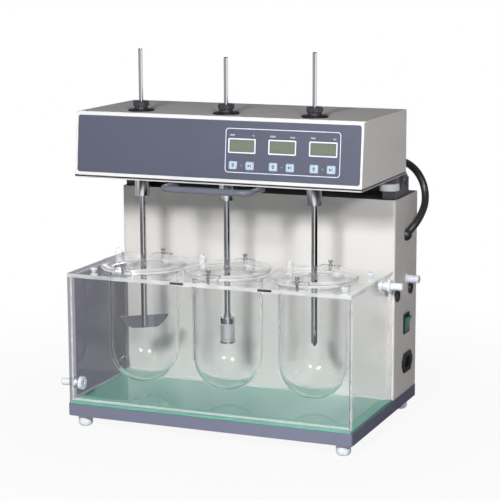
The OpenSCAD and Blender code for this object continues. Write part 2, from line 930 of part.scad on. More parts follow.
// Side view of the cover: flat roof, round rear edge, front cut to the bezel's lean.
// The hollow is the same view, set in by the sheet and open past the front.
module cover_profile(inset, ahead) {
    r = head_round - inset / 2;
    y0 = head_y0 + bezel_deep / cos(front_angle) - ahead;
    y1 = head_y1 - inset;
    z0 = cover_z0 - inset;
    z1 = head_top - inset;
    polygon([[y0, z0], [y0 + head_rake, z1], [y1 - r, z1], [y1, z1 - r], [y1, z0]]);
    translate([y1 - r, z1 - r]) circle(r);
}

module head_cover() {
    color("#c6c3c0") difference() {
        along_x(head_w) cover_profile(0, 0);
        along_x(head_w - 2 * sheet) cover_profile(sheet, bezel_deep);
        at_stations() rod_z(head_top - sheet - cut, head_top + cut, roof_hole_r);
        rod_y(head_y1 - sheet - cut, head_y1 + cut, head_gland_x, head_gland_z,
            head_gland_shank_r);
    }
}

module front_bezel() {
    z = front_len / 2;
    color("#eceded") on_front() difference() {
        front_plate(head_w, front_len, 2, 0, bezel_deep, 0, z);
        front_plate(panel_w, panel_h, panel_corner, -cut, panel_recess + panel_t, 0, z);
        front_plate(panel_w - 2 * bezel_lip, panel_h - 2 * bezel_lip, panel_corner, -cut,
            bezel_deep + cut, 0, z);
    }
}

module display_places() {
    for (i = stations) translate([display_x0 + i * display_pitch, 0, display_z]) children();
}

function key_x(i) =
    display_x0 + floor(i / 2) * display_pitch + (i % 2 == 0 ? -1 : 1) * key_offset;

module front_panel() {
    back = panel_recess + panel_t;
    color("#6b7086") on_front() difference() {
        front_plate(panel_w, panel_h, panel_corner, panel_recess, back, 0, front_len / 2);
        display_places() front_plate(display_w, display_h, 1, 0, back + cut, 0, 0);
        for (i = [0:5])
            front_plate(key_w + 2 * free_gap, key_h + 2 * free_gap, key_round, 0, back + cut,
                key_x(i), key_z);
    }
}

module displays() {
    color("#8a9484") on_front() display_places()
        front_plate(display_w, display_h, 1, display_recess, display_recess + display_deep,
            0, 0);
}

// A key's cap in the panel, kept by the flange behind it
module key(i) {
    back = panel_recess + panel_t;
    color("#b9c6d8") on_front() {
        front_plate(key_w, key_h, key_round, panel_recess - key_proud, back, key_x(i), key_z);
        front_plate(key_w + 3, key_h + 3, key_round, back, back + key_flange, key_x(i), key_z);
    }
}

// Side view of a lug: a foot over the rest pad and an arm back to the pin
module lug_profile() {
    translate([hinge_y, hinge_z]) circle(lug_r);
    polygon([
        [pad_y - lug_foot / 2, pad_top], [hinge_y - lug_r, pad_top],
        [hinge_y, hinge_z - lug_r], [hinge_y + lug_r, hinge_z], [head_y1, floor_z0],
        [pad_y - lug_foot / 2, floor_z0]
    ]);
}

// Floor of the head: a plate with a step inside the cover, and the two hinge lugs
module bottom_plate() {
    step_y0 = head_y0 + bezel_deep + floor_step;
    color("#bdbbb8") difference() {
        union() {
            translate([-head_w / 2, head_y0, floor_z0])
                cube([head_w, head_y1 - head_y0, floor_t]);
            translate([-head_w / 2 + sheet, step_y0, floor_z0])
                cube([head_w - 2 * sheet, head_y1 - sheet - step_y0, floor_t + floor_step]);
            both_sides() {
                from_x(lug_x0, lug_w) lug_profile();
                translate([lug_x0, pad_y - lug_foot / 2, pad_top])
                    cube([bracket_x0 + bracket_w - lug_x0, lug_foot, floor_z0 - pad_top]);
            }
        }
        at_stations() rod_z(floor_z0 - cut, cover_z0 + floor_step + cut, sleeve_r);
        both_sides() rod_x(lug_x0 - cut, lug_x0 + lug_w + cut, hinge_y, hinge_z, hinge_r + run);
    }
}

// U-shaped bar in front of the head, on two short posts
module handle() {
    x = handle_w / 2;
    bend_y = handle_y + handle_bend;
    color("#8f91a3") {
        rotate([0, 90, 0]) translate([-handle_z, handle_y, handle_bend - x])
            cylinder(r = handle_r, h = 2 * (x - handle_bend));
        both_sides() {
            translate([x - handle_bend, bend_y, handle_z]) rotate([0, 0, -90])
                rotate_extrude(angle = 90) translate([handle_bend, 0]) circle(handle_r);
            rod_y(bend_y, handle_post_y, x, handle_z, handle_r);
            translate([x, handle_post_y, 0]) {
                translate([0, 0, handle_z]) sphere(handle_r);
                rod_z(handle_z, floor_z0, handle_r);
                rod_z(floor_z0 - handle_boss_h, floor_z0, handle_boss_r);
            }
        }
    }
}

module head_gland() {
    color("#1d1e20") {
        rod_y(head_y1 - sheet, head_y1, head_gland_x, head_gland_z, head_gland_shank_r);
        rod_y(head_y1 - sheet - grommet_back_h, head_y1 - sheet, head_gland_x, head_gland_z,
            head_gland_r);
        rod_y(head_y1, head_y1 + head_gland_deep, head_gland_x, head_gland_z, head_gland_r);
    }
}

module bearing_sleeves() {
    flange_z = floor_top + floor_step;
    color("#c9ccd2") at_stations() difference() {
        union() {
            rod_z(sleeve_z0, sleeve_top, sleeve_r);
            rod_z(flange_z, flange_z + sleeve_flange_h, sleeve_flange_r);
        }
        rod_z(sleeve_z0 - cut, sleeve_top + cut, bearing_r);
    }
}

module bearings() {
    color("#a9adb3") at_stations()
        for (z = [sleeve_z0 + bearing_inset, sleeve_top - bearing_h - bearing_inset])
        difference() {
            rod_z(z, z + bearing_h, bearing_r);
            rod_z(z - cut, z + bearing_h + cut, spindle_r + run);
        }
}

// A belt pulley between two flanges
module pulley(track) {
    z = track_z0 + track * track_pitch;
    rod_z(z, z + track_h, pulley_r);
    rod_z(z, z + pulley_lip, pulley_flange_r);
    rod_z(z + track_h - pulley_lip, z + track_h, pulley_flange_r);
}

// Hollow spindle with its pulleys and the slit collet above the roof
module spindle(i) {
    color("#b5b8bd") at_station(i) difference() {
        union() {
            rod_z(sleeve_z0 + bearing_inset, neck_z0, spindle_r);
            for (track = spindle_tracks[i]) pulley(track);
            rod_z(neck_z0, neck_top, neck_r);
            rod_z(neck_top, neck_top + collet_h, collet_r);
        }
        rod_z(sleeve_z0, bore_top, shaft_r + run);
        rod_z(bore_top - cut, neck_top + collet_h + cut, rod_r + run);
        for (turn = [0, 90]) rotate([0, 0, turn])
            translate([-collet_r - cut, -collet_slit / 2, neck_top + collet_root])
                cube([2 * collet_r + 2 * cut, collet_slit, collet_h]);
    }
}

// Knurled nut that closes the collet on the rod
module collet_nut(i) {
    nut_top = neck_top + nut_h;
    grip_z = nut_top - nut_grip_h;
    color("#26262b") at_station(i) difference() {
        union() {
            rod_z(neck_top, grip_z, nut_skirt_r);
            rod_z(grip_z, nut_top - tip_chamfer, nut_r);
            chamfered_end(nut_top, nut_r);
        }
        rod_z(neck_top - cut, nut_top - nut_cap, collet_r + free_gap);
        rod_z(neck_top, nut_top + cut, rod_r + free_gap);
        for (k = [0:nut_knurls - 1]) rotate([0, 0, k * 360 / nut_knurls])
            translate([nut_r + nut_knurl_r / 3, 0, 0])
                rod_z(grip_z + nut_knurl_r / 2, nut_top + cut, nut_knurl_r);
    }
}

module motor() {
    z0 = floor_top + floor_step;
    top = track_z0 - motor_gap;
    color("#4a4c52") translate([0, motor_y, 0]) difference() {
        union() {
            block(motor_w, motor_w, top - z0, motor_round, z0);
            rod_z(top, top + motor_boss_h, motor_boss_r);
        }
        rod_z(z0 + motor_floor, top + motor_boss_h + cut, motor_shaft_r + run);
    }
}

module motor_pulley() {
    color("#b5b8bd") translate([0, motor_y, 0]) {
        rod_z(floor_top + floor_step + motor_floor, track_z0, motor_shaft_r);
        pulley(0);
    }
}

// Outline round two equal pulleys, the second at a distance along X
module belt_outline(r, reach) {
    circle(r);
    translate([reach, 0]) circle(r);
    translate([0, -r]) square([reach, 2 * r]);
}

module belt(track, reach) {
    translate([0, 0, track_z0 + track * track_pitch + pulley_lip + belt_side])
        linear_extrude(belt_w) difference() {
            belt_outline(pulley_r + belt_gap + belt_t, reach);
            belt_outline(pulley_r + belt_gap, reach);
        }
}

module drive_belts() {
    color("#2b2b2d") {
        at_station(1) rotate([0, 0, 90]) belt(0, motor_y - station_y);
        at_station(0) belt(1, station_pitch);
        at_station(1) belt(2, station_pitch);
    }
}

module roof_washers() {
    color("#2a2a2e") at_stations() difference() {
        union() {
            rod_z(head_top, head_top + washer_t - tip_chamfer, washer_r);
            chamfered_end(head_top + washer_t, washer_r);
        }
        rod_z(head_top - cut, head_top + washer_t + cut, neck_r + free_gap);
    }
}

// Stirring shaft: thick below, with a slimmer rod through the spindle's collet
module shaft_solid(z0, drop) {
    top = head_top + rod_rise - drop;
    rod_z(z0, shaft_step_z, shaft_r);
    rod_z(shaft_step_z, top - tip_chamfer, rod_r);
    chamfered_end(top, rod_r);
}

module paddle_shaft(i) {
    color("#b9bcc2") at_station(i) difference() {
        shaft_solid(stirrer_z(i), rod_drop[i]);
        rotate([0, 0, paddle_angle[i]])
            translate([-shaft_d, -paddle_t / 2, stirrer_z(i) - cut])
                cube([2 * shaft_d, paddle_t, paddle_h + cut]);
    }
}

module basket_shaft() {
    color("#b9bcc2") at_station(1) shaft_solid(cap_z0 + cap_h, rod_drop[1]);
}

// Blade with its ends on one arc, wide at the top
module paddle(i) {
    arc_z = paddle_h + sqrt(pow(paddle_arc, 2) - pow(paddle_w / 2, 2));
    color("#aeb1b8") at_station(i) translate([0, 0, stirrer_z(i)])
        rotate([90, 0, paddle_angle[i]]) linear_extrude(paddle_t, center = true)
            intersection() {
                translate([0, arc_z]) circle(paddle_arc);
                translate([-paddle_arc, 0]) square([2 * paddle_arc, paddle_h]);
            }
}

// Cap of the basket with its hub round the shaft and a vent
module basket_cap() {
    color("#a7aab1") at_station(1) difference() {
        union() {
            rod_z(cap_z0, cap_z0 + cap_h, cap_r);
            rod_z(cap_z0 + cap_h, cap_z0 + cap_h + cap_hub_h, cap_hub_r);
        }
        rod_z(cap_z0 + cap_h, cap_z0 + cap_h + cap_hub_h + cut, shaft_r);
        translate([cap_r - cap_vent_inset, 0, 0])
            rod_z(cap_z0 - cut, cap_z0 + cap_h + cut, cap_vent_r);
    }
}

// Wire cage: a wall and floor of small windows between two rims
module basket() {
    r = basket_d / 2;
    row_h = (basket_h - 2 * cage_rim) / cage_rows;
    color("#9da0a8") at_station(1) translate([0, 0, basket_z0]) difference() {
        union() {
            rod_z(0, basket_h, r);
            rod_z(0, cage_rim, r + cage_rim_out);
            rod_z(basket_h - cage_rim, basket_h, cap_r);
        }
        rod_z(cage_wall, basket_h + cut, r - cage_wall);
        for (row = [0:cage_rows - 1], column = [0:cage_columns - 1])
            rotate([0, 0, column * 360 / cage_columns])
                translate([r - cage_wall - cut, -cage_window / 2,
                    cage_rim + row * row_h + cage_wire / 2])
                    cube([cage_wall + 2 * cut, cage_window, row_h - cage_wire]);
        for (x = [-1:1], y = [-1:1])
            translate([x * cage_hole_pitch, y * cage_hole_pitch, 0])
                rod_z(-cut, cage_wall + cut, cage_hole_r);
    }
}

base_tray();
feet();
base_mat();
tank();
vessel_plate();
plate_pegs();
plate_buffers();
vessel(0);  // vessel_1
vessel(1);  // vessel_2
vessel(2);  // vessel_3
lid(0);  // lid_1
lid(1);  // lid_2
lid(2);  // lid_3
clamp_bars();
clamp_screws();
column_shell();
column_back();
hinge_brackets();
hinge_pins();
rest_pads();
sensor_socket();
column_grommets();
switch_bezel();
power_rocker();
power_inlet();
hose_nipples();
circulation_heater();
signal_cable();
head_cover();
front_bezel();
front_panel();
bottom_plate();
displays();
key(0);  // key_1
key(1);  // key_2
key(2);  // key_3
key(3);  // key_4
key(4);  // key_5
key(5);  // key_6
handle();
head_gland();
bearing_sleeves();
bearings();
motor();
motor_pulley();
drive_belts();
roof_washers();
spindle(0);  // spindle_1
spindle(1);  // spindle_2
spindle(2);  // spindle_3
collet_nut(0);  // collet_nut_1
collet_nut(1);  // collet_nut_2
collet_nut(2);  // collet_nut_3
paddle_shaft(0);  // shaft_1
basket_shaft();  // shaft_2
paddle_shaft(2);  // shaft_3
paddle(0);  // paddle_1
paddle(2);  // paddle_3
basket_cap();
basket();
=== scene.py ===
"""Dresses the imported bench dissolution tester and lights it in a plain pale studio.

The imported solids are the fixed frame. The classes below finish the solids that show with
fine edges, and add what is finer than they are: glass, print, wire, ribs, screws and cable.
"""

from __future__ import annotations

import json
import logging
import math
from collections.abc import Sequence
from dataclasses import dataclass, field
from enum import Enum

import bmesh
import bpy
from mathutils import Matrix, Vector

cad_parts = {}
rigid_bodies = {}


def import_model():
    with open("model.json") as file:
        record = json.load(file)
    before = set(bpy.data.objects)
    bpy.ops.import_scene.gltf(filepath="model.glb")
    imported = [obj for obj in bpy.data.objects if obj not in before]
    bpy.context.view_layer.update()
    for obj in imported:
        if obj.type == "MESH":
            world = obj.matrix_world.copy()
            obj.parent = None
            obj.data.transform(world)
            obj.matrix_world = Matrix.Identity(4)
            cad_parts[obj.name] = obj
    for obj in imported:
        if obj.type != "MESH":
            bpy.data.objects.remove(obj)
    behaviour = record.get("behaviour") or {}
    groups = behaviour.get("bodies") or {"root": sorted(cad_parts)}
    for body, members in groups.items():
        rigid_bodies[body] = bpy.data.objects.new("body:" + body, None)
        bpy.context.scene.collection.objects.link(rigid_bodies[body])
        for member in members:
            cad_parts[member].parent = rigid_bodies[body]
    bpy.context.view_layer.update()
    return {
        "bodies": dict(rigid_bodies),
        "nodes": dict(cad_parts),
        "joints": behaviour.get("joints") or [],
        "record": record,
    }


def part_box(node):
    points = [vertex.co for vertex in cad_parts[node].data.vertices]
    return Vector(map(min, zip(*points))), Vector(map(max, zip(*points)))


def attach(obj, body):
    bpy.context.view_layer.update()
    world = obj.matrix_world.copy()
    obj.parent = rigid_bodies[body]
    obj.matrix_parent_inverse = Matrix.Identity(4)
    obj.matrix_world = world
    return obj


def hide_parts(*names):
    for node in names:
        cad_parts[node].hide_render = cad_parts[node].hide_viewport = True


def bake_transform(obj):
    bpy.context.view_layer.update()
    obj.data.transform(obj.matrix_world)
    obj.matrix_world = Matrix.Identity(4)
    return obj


LOG = logging.getLogger("dissolution_tester")
MM = 0.001
STATION_X = (-140.0, 0.0, 140.0)
STATION_Y = -68.5
MERGE = 1e-6
POLE_MERGE = 1e-7
FLAT_TURN = math.radians(0.4)
BEVEL_TURN = math.radians(32)
BEVEL_STEPS = 2
SHARP_TURN = math.radians(35)

Point = tuple[float, float, float]
Pair = tuple[float, float]
Rgb = tuple[int, int, int]
Socket = bpy.types.NodeSocket
Inputs = dict[str | int, object]

WHITE: Rgb = (255, 255, 255)
DUST: Rgb = (123, 120, 119)
GRAIN_RANGE: Pair = (0.25, 0.75)
CLOUD_RANGE: Pair = (0.3, 0.7)
SMEAR_RANGE: Pair = (0.45, 0.8)


def linear(colour: Rgb) -> tuple[float, float, float, float]:
    """Turns a display colour into the linear one that shaders take.

    Args:
        colour: Red, green and blue from 0 to 255, as seen on a screen.

    Returns:
        Linear red, green and blue, with an alpha of 1.
    """
    shares = [c / 255 for c in colour]
    low = [s / 12.92 if s <= 0.04045 else ((s + 0.055) / 1.055) ** 2.4 for s in shares]
    return (low[0], low[1], low[2], 1.0)


def scaled(points: Sequence[Sequence[float]]) -> list[Vector]:
    """Turns points in millimetres into vectors in metres."""
    return [Vector(p) * MM for p in points]


def shown(name: str, data: bpy.types.ID) -> bpy.types.Object:
    """Adds an object to the scene.

    Args:
        name: Its name.
        data: Its mesh, text, lamp or camera.

    Returns:
        The new object, at the origin.
    """
    made = bpy.data.objects.new(name, data)
    bpy.context.scene.collection.objects.link(made)
    return made


class Coat(Enum):
    """The finishes of the instrument; each value is a material slot of the record."""

    HOUSING = "housing_paint"
    FLOOR = "floor_paint"
    TRAY = "tray_paint"
    BEZEL = "bezel_white"
    PANEL = "panel_film"
    KEY = "key_film"
    DISPLAY = "display_window"
    BRACKET = "bracket_paint"
    HANDLE = "handle_paint"
    MOTOR = "motor_paint"
    WHITE = "white_plastic"
    BLACK = "black_plastic"
    GREEN = "green_plastic"
    RUBBER = "black_rubber"
    MAT = "mat_foam"
    BRIGHT = "bright_metal"
    STEEL = "stainless"
    ACRYLIC = "clear_acrylic"
    GLASS = "vessel_glass"


class Texture(Enum):
    """How a fine texture runs; each value scales its pattern along X, Y and Z."""

    GRAIN = (1.0, 1.0, 1.0)
    TURNED = (0.02, 0.02, 1.0)
    BRUSHED = (0.02, 1.0, 1.0)


class Tree:
    """A node tree with short ways to add and join nodes."""

    NUMBER_A = 2
    NUMBER_B = 3
    COLOUR_A = 6
    COLOUR_B = 7
    COLOUR_OUT = 2

    def __init__(self, tree: bpy.types.NodeTree) -> None:
        """Keeps the tree that is built."""
        self.tree = tree

    def sockets(self, in_out: str, rows: dict[str, str]) -> None:
        """Gives a group its named sockets.

        Args:
            in_out: INPUT or OUTPUT.
            rows: The type of each socket, by its name.
        """
        for name, kind in rows.items():
            self.tree.interface.new_socket(name=name, in_out=in_out, socket_type=kind)

    def join(self, source: Socket, target: Socket) -> None:
        """Links an output to an input."""
        self.tree.links.new(source, target)

    def feed(self, node: bpy.types.Node, inputs: Inputs) -> None:
        """Sets or links inputs of a node.

        Args:
            node: The node.
            inputs: A value, or a socket to link from, for each input's name or number.
        """
        for key, value in inputs.items():
            if isinstance(value, Socket):
                self.join(value, node.inputs[key])
            else:
                node.inputs[key].default_value = value

    def add(self, kind: str, inputs: Inputs | None = None, **settings: object) -> bpy.types.Node:
        """Adds a node.

        Args:
            kind: The node's type name.
            inputs: What its inputs get, as in feed.
            settings: Properties to set on it.

        Returns:
            The new node.
        """
        node = self.tree.nodes.new(kind)
        for name, value in settings.items():
            setattr(node, name, value)
        self.feed(node, inputs or {})
        return node

    def show(self, shader: Socket, output: str = "Material Output") -> None:
        """Links the last shader to the output."""
        self.join(shader, self.tree.nodes[output].inputs["Surface"])

    def math(self, operation: str, *values: object) -> Socket:
        """Works out a value from numbers or sockets."""
        node = self.add("ShaderNodeMath", dict(enumerate(values)), operation=operation)
        return node.outputs[0]

    def spread(self, value: Socket, source: Pair, target: Pair = (0.0, 1.0)) -> Socket:
        """Maps one range of a value onto another.

        Args:
            value: The value.
            source: The ends of its own range.
            target: The ends of the new one.

        Returns:
            The new value, which stops at those ends.
        """
        return self.add("ShaderNodeMapRange", {
            "Value": value, "From Min": source[0], "From Max": source[1],
            "To Min": target[0], "To Max": target[1]}).outputs["Result"]

    def ramp(self, value: Socket, stops: Sequence[tuple[float, Point]]) -> Socket:
        """Colours a value.

        Args:
            value: The value, from 0 to 1.
            stops: Places along it, with their linear colours.

        Returns:
            The colour.
        """
        node = self.add("ShaderNodeValToRGB", {"Fac": value})
        marks = node.color_ramp.elements
        while len(marks) < len(stops):
            marks.new(0.5)
        for mark, (place, colour) in zip(marks, stops):
            mark.position = place
            mark.color = (*colour, 1.0)
        return node.outputs["Color"]

    def tinted(self, colour: Socket, factor: Socket) -> Socket:
        """Makes a colour lighter or darker by a factor."""
        node = self.add("ShaderNodeVectorMath", {0: colour, "Scale": factor}, operation="SCALE")
        return node.outputs[0]

    def mixed(self, share: Socket, first: object, second: object) -> Socket:
        """Mixes two colours."""
        node = self.add("ShaderNodeMix", {0: share, self.COLOUR_A: first, self.COLOUR_B: second},
                        data_type="RGBA")
        return node.outputs[self.COLOUR_OUT]

    def either(self, share: Socket, first: Socket, second: Socket) -> Socket:
        """Mixes two shaders."""
        return self.add("ShaderNodeMixShader", {0: share, 1: first, 2: second}).outputs[0]


class Effects:
    """The shader groups that several finishes share, each built once."""

    FLOAT = "NodeSocketFloat"
    COLOUR = "NodeSocketColor"
    CLOUD_DETAIL = 4.0
    GRAIN_DETAIL = 2.0
    DUST_DETAIL = 6.0
    DUST_SCALE = 45.0
    DUST_SLOPE = 0.7

    def __init__(self) -> None:
        """Builds the groups."""
        self.mottle = self._mottle()
        self.dust = self._dust()
        self.textures = {texture: self._texture(texture) for texture in Texture}

    def fine(self, tree: Tree, texture: Texture, scale: float) -> Socket:
        """Places a fine texture in a material."""
        group = self.textures[texture]
        return tree.add("ShaderNodeGroup", {"Scale": scale}, node_tree=group).outputs["Value"]

    def smears(self, tree: Tree, scale: float, most: float) -> Socket:
        """Places a roughness that rises in smears."""
        return tree.spread(self.fine(tree, Texture.GRAIN, scale), SMEAR_RANGE, (0.0, most))

    @staticmethod
    def _start(name: str, inputs: dict[str, str]) -> tuple[Tree, bpy.types.NodeOutputs]:
        """Starts a shader group.

        Args:
            name: The group's name.
            inputs: The types of its inputs.

        Returns:
            The tree, and the sockets of what it is given.
        """
        tree = Tree(bpy.data.node_groups.new(name, "ShaderNodeTree"))
        tree.sockets("INPUT", inputs)
        return tree, tree.add("NodeGroupInput").outputs

    @staticmethod
    def _end(tree: Tree, name: str, kind: str, result: Socket) -> bpy.types.NodeTree:
        """Ends a shader group.

        Args:
            tree: The group's tree.
            name: The output's name.
            kind: Its type.
            result: What it gives.

        Returns:
            The group.
        """
        tree.sockets("OUTPUT", {name: kind})
        tree.add("NodeGroupOutput", {name: result})
        return tree.tree

    @staticmethod
    def _noise(tree: Tree, scale: object, detail: float, stretch: Point | None = None) -> Socket:
        """Makes noise over a piece.

        Args:
            tree: The group's tree.
            scale: How fine it is.
            detail: How many finer layers it has.
            stretch: How it is scaled along X, Y and Z.

        Returns:
            The noise, from 0 to 1.
        """
        place = tree.add("ShaderNodeTexCoord").outputs["Object"]
        if stretch:
            place = tree.add("ShaderNodeMapping", {"Vector": place, "Scale": stretch}).outputs[0]
        noise = tree.add("ShaderNodeTexNoise", {"Vector": place, "Scale": scale, "Detail": detail})
        return noise.outputs["Fac"]

    def _mottle(self) -> bpy.types.NodeTree:
        """Builds the group that makes a colour lighter and darker in soft clouds.

        Returns:
            The group.
        """
        tree, given = self._start("soft_mottle", {
            "Color": self.COLOUR, "Scale": self.FLOAT, "Amount": self.FLOAT})
        noise = self._noise(tree, given["Scale"], self.CLOUD_DETAIL)
        # The factor swings by Amount about 1.
        lowest = tree.math("MULTIPLY_ADD", given["Amount"], -0.5, 1.0)
        swing = tree.math("MULTIPLY_ADD", noise, given["Amount"], lowest)
        return self._end(tree, "Color", self.COLOUR, tree.tinted(given["Color"], swing))

    def _texture(self, texture: Texture) -> bpy.types.NodeTree:
        """Builds a group for a fine texture, whose Value runs from 0 to 1.

        Args:
            texture: How the texture runs.

        Returns:
            The group.
        """
        tree, given = self._start(texture.name.lower(), {"Scale": self.FLOAT})
        noise = self._noise(tree, given["Scale"], self.GRAIN_DETAIL, texture.value)
        return self._end(tree, "Value", self.FLOAT, noise)

    def _dust(self) -> bpy.types.NodeTree:
        """Builds the group for a thin patchy mask on faces that look up.

        Returns:
            The group.
        """
        tree, given = self._start("settled_dust", {"Amount": self.FLOAT})
        face = tree.add("ShaderNodeNewGeometry").outputs["Normal"]
        split = tree.add("ShaderNodeSeparateXYZ", {0: face})
        up = tree.spread(split.outputs["Z"], (self.DUST_SLOPE, 1.0))
        patch = tree.math("MULTIPLY", self._noise(tree, self.DUST_SCALE, self.DUST_DETAIL), up)
        share = tree.math("MULTIPLY", patch, given["Amount"])
        return self._end(tree, "Mask", self.FLOAT, share)


def started(name: str) -> tuple[bpy.types.Material, Tree, bpy.types.Node]:
    """Starts a material.

    Args:
        name: Its name.

    Returns:
        The material, its tree and its main shader.
    """
    material = bpy.data.materials.new(name)
    material.use_nodes = True
    tree = Tree(material.node_tree)
    return material, tree, tree.tree.nodes["Principled BSDF"]


@dataclass(frozen=True)
class Finish:
    """An opaque finish with mottled colour, fine texture and a little dust."""

    name: str
    colour: Rgb
    roughness: float
    metallic: float = 0.0
    coat: float = 0.0
    specular: float = 0.5
    mottle: float = 0.06
    mottle_scale: float = 22.0
    texture: Texture = Texture.GRAIN
    texture_scale: float = 1500.0
    texture_depth: float = 0.00003
    roughness_swing: float = 0.1
    speckle: float = 0.0
    dust: float = 0.0

    def build(self, effects: Effects) -> bpy.types.Material:
        """Makes the material.

        Args:
            effects: The shared shader groups.

        Returns:
            The finished material.
        """
        material, tree, surface = started(self.name)
        clouds = tree.add("ShaderNodeGroup", {
            "Color": linear(self.colour), "Scale": self.mottle_scale, "Amount": self.mottle},
            node_tree=effects.mottle)
        colour = clouds.outputs["Color"]
        fine = effects.fine(tree, self.texture, self.texture_scale)
        if self.speckle:
            ends = (1 - self.speckle, 1 + self.speckle)
            colour = tree.tinted(colour, tree.spread(fine, CLOUD_RANGE, ends))
        if self.dust:
            mask = tree.add("ShaderNodeGroup", {"Amount": self.dust}, node_tree=effects.dust)
            colour = tree.mixed(mask.outputs["Mask"], colour, linear(DUST))
        swing = self.roughness_swing / 2
        rough = (max(self.roughness - swing, 0), self.roughness + swing)
        bump = tree.add("ShaderNodeBump", {
            "Strength": 1.0, "Distance": self.texture_depth, "Height": fine})
        tree.feed(surface, {
            "Base Color": colour, "Metallic": self.metallic, "Coat Weight": self.coat,
            "Roughness": tree.spread(fine, GRAIN_RANGE, rough),
            "Specular IOR Level": self.specular, "Normal": bump.outputs["Normal"]})
        return material


@dataclass(frozen=True)
class ClearFinish:
    """Glass or acrylic that lets the lamps through to what stands behind it."""

    name: str
    tint: Rgb
    ior: float
    smear: float = 0.02
    smear_scale: float = 60.0
    sheen: float = 0.0
    sheen_roughness: float = 0.3

    def build(self, effects: Effects) -> bpy.types.Material:
        """Makes the material.

        Args:
            effects: The shared shader groups.

        Returns:
            The finished material.
        """
        material, tree, surface = started(self.name)
        tree.feed(surface, {
            "Base Color": linear(self.tint), "Transmission Weight": 1.0, "IOR": self.ior,
            "Sheen Weight": self.sheen, "Sheen Roughness": self.sheen_roughness,
            "Roughness": effects.smears(tree, self.smear_scale, self.smear)})
        path = tree.add("ShaderNodeLightPath").outputs
        passing = tree.math("MAXIMUM", path["Is Shadow Ray"], path["Is Diffuse Ray"])
        clear = tree.add("ShaderNodeBsdfTransparent", {"Color": linear(self.tint)})
        # Light and shadow go straight through, without bending.
        tree.show(tree.either(passing, surface.outputs[0], clear.outputs[0]))
        return material


@dataclass(frozen=True)
class PaneFinish:
    """Clear sheet that is looked straight through, with a mirror film on its outer faces."""

    name: str
    tint: Rgb
    ior: float = 1.49
    smear: float = 0.04
    smear_scale: float = 45.0

    def build(self, effects: Effects) -> bpy.types.Material:
        """Makes the material.

        Args:
            effects: The shared shader groups.

        Returns:
            The finished material.
        """
        material, tree, surface = started(self.name)
        tree.feed(surface, {
            "Base Color": linear(WHITE), "Metallic": 1.0,
            "Roughness": effects.smears(tree, self.smear_scale, self.smear)})
        clear = tree.add("ShaderNodeBsdfTransparent", {"Color": linear(self.tint)})
        edge = tree.add("ShaderNodeFresnel", {"IOR": self.ior}).outputs["Fac"]
        inside = tree.add("ShaderNodeNewGeometry").outputs["Backfacing"]
        path = tree.add("ShaderNodeLightPath").outputs
        passing = tree.math("MAXIMUM", path["Is Shadow Ray"], path["Is Diffuse Ray"])
        # The film mirrors on outer faces alone, and never holds back light.
        outside = tree.math("SUBTRACT", 1.0, tree.math("MAXIMUM", passing, inside))
        share = tree.math("MULTIPLY", edge, outside)
        tree.show(tree.either(share, clear.outputs[0], surface.outputs[0]))
        return material


@dataclass(frozen=True)
class HazeFinish:
    """A milky film, such as the sawn or glued edges of clear sheet."""

    name: str
    colour: Rgb
    thin: float
    thick: float
    scale: float
    texture: Texture = Texture.GRAIN
    roughness: float = 0.3

    def build(self, effects: Effects) -> bpy.types.Material:
        """Makes the material.

        Args:
            effects: The shared shader groups.

        Returns:
            The finished material.
        """
        material, tree, surface = started(self.name)
        cloud = effects.fine(tree, self.texture, self.scale)
        tree.feed(surface, {
            "Base Color": linear(self.colour), "Roughness": self.roughness,
            "Alpha": tree.spread(cloud, CLOUD_RANGE, (self.thin, self.thick))})
        return material


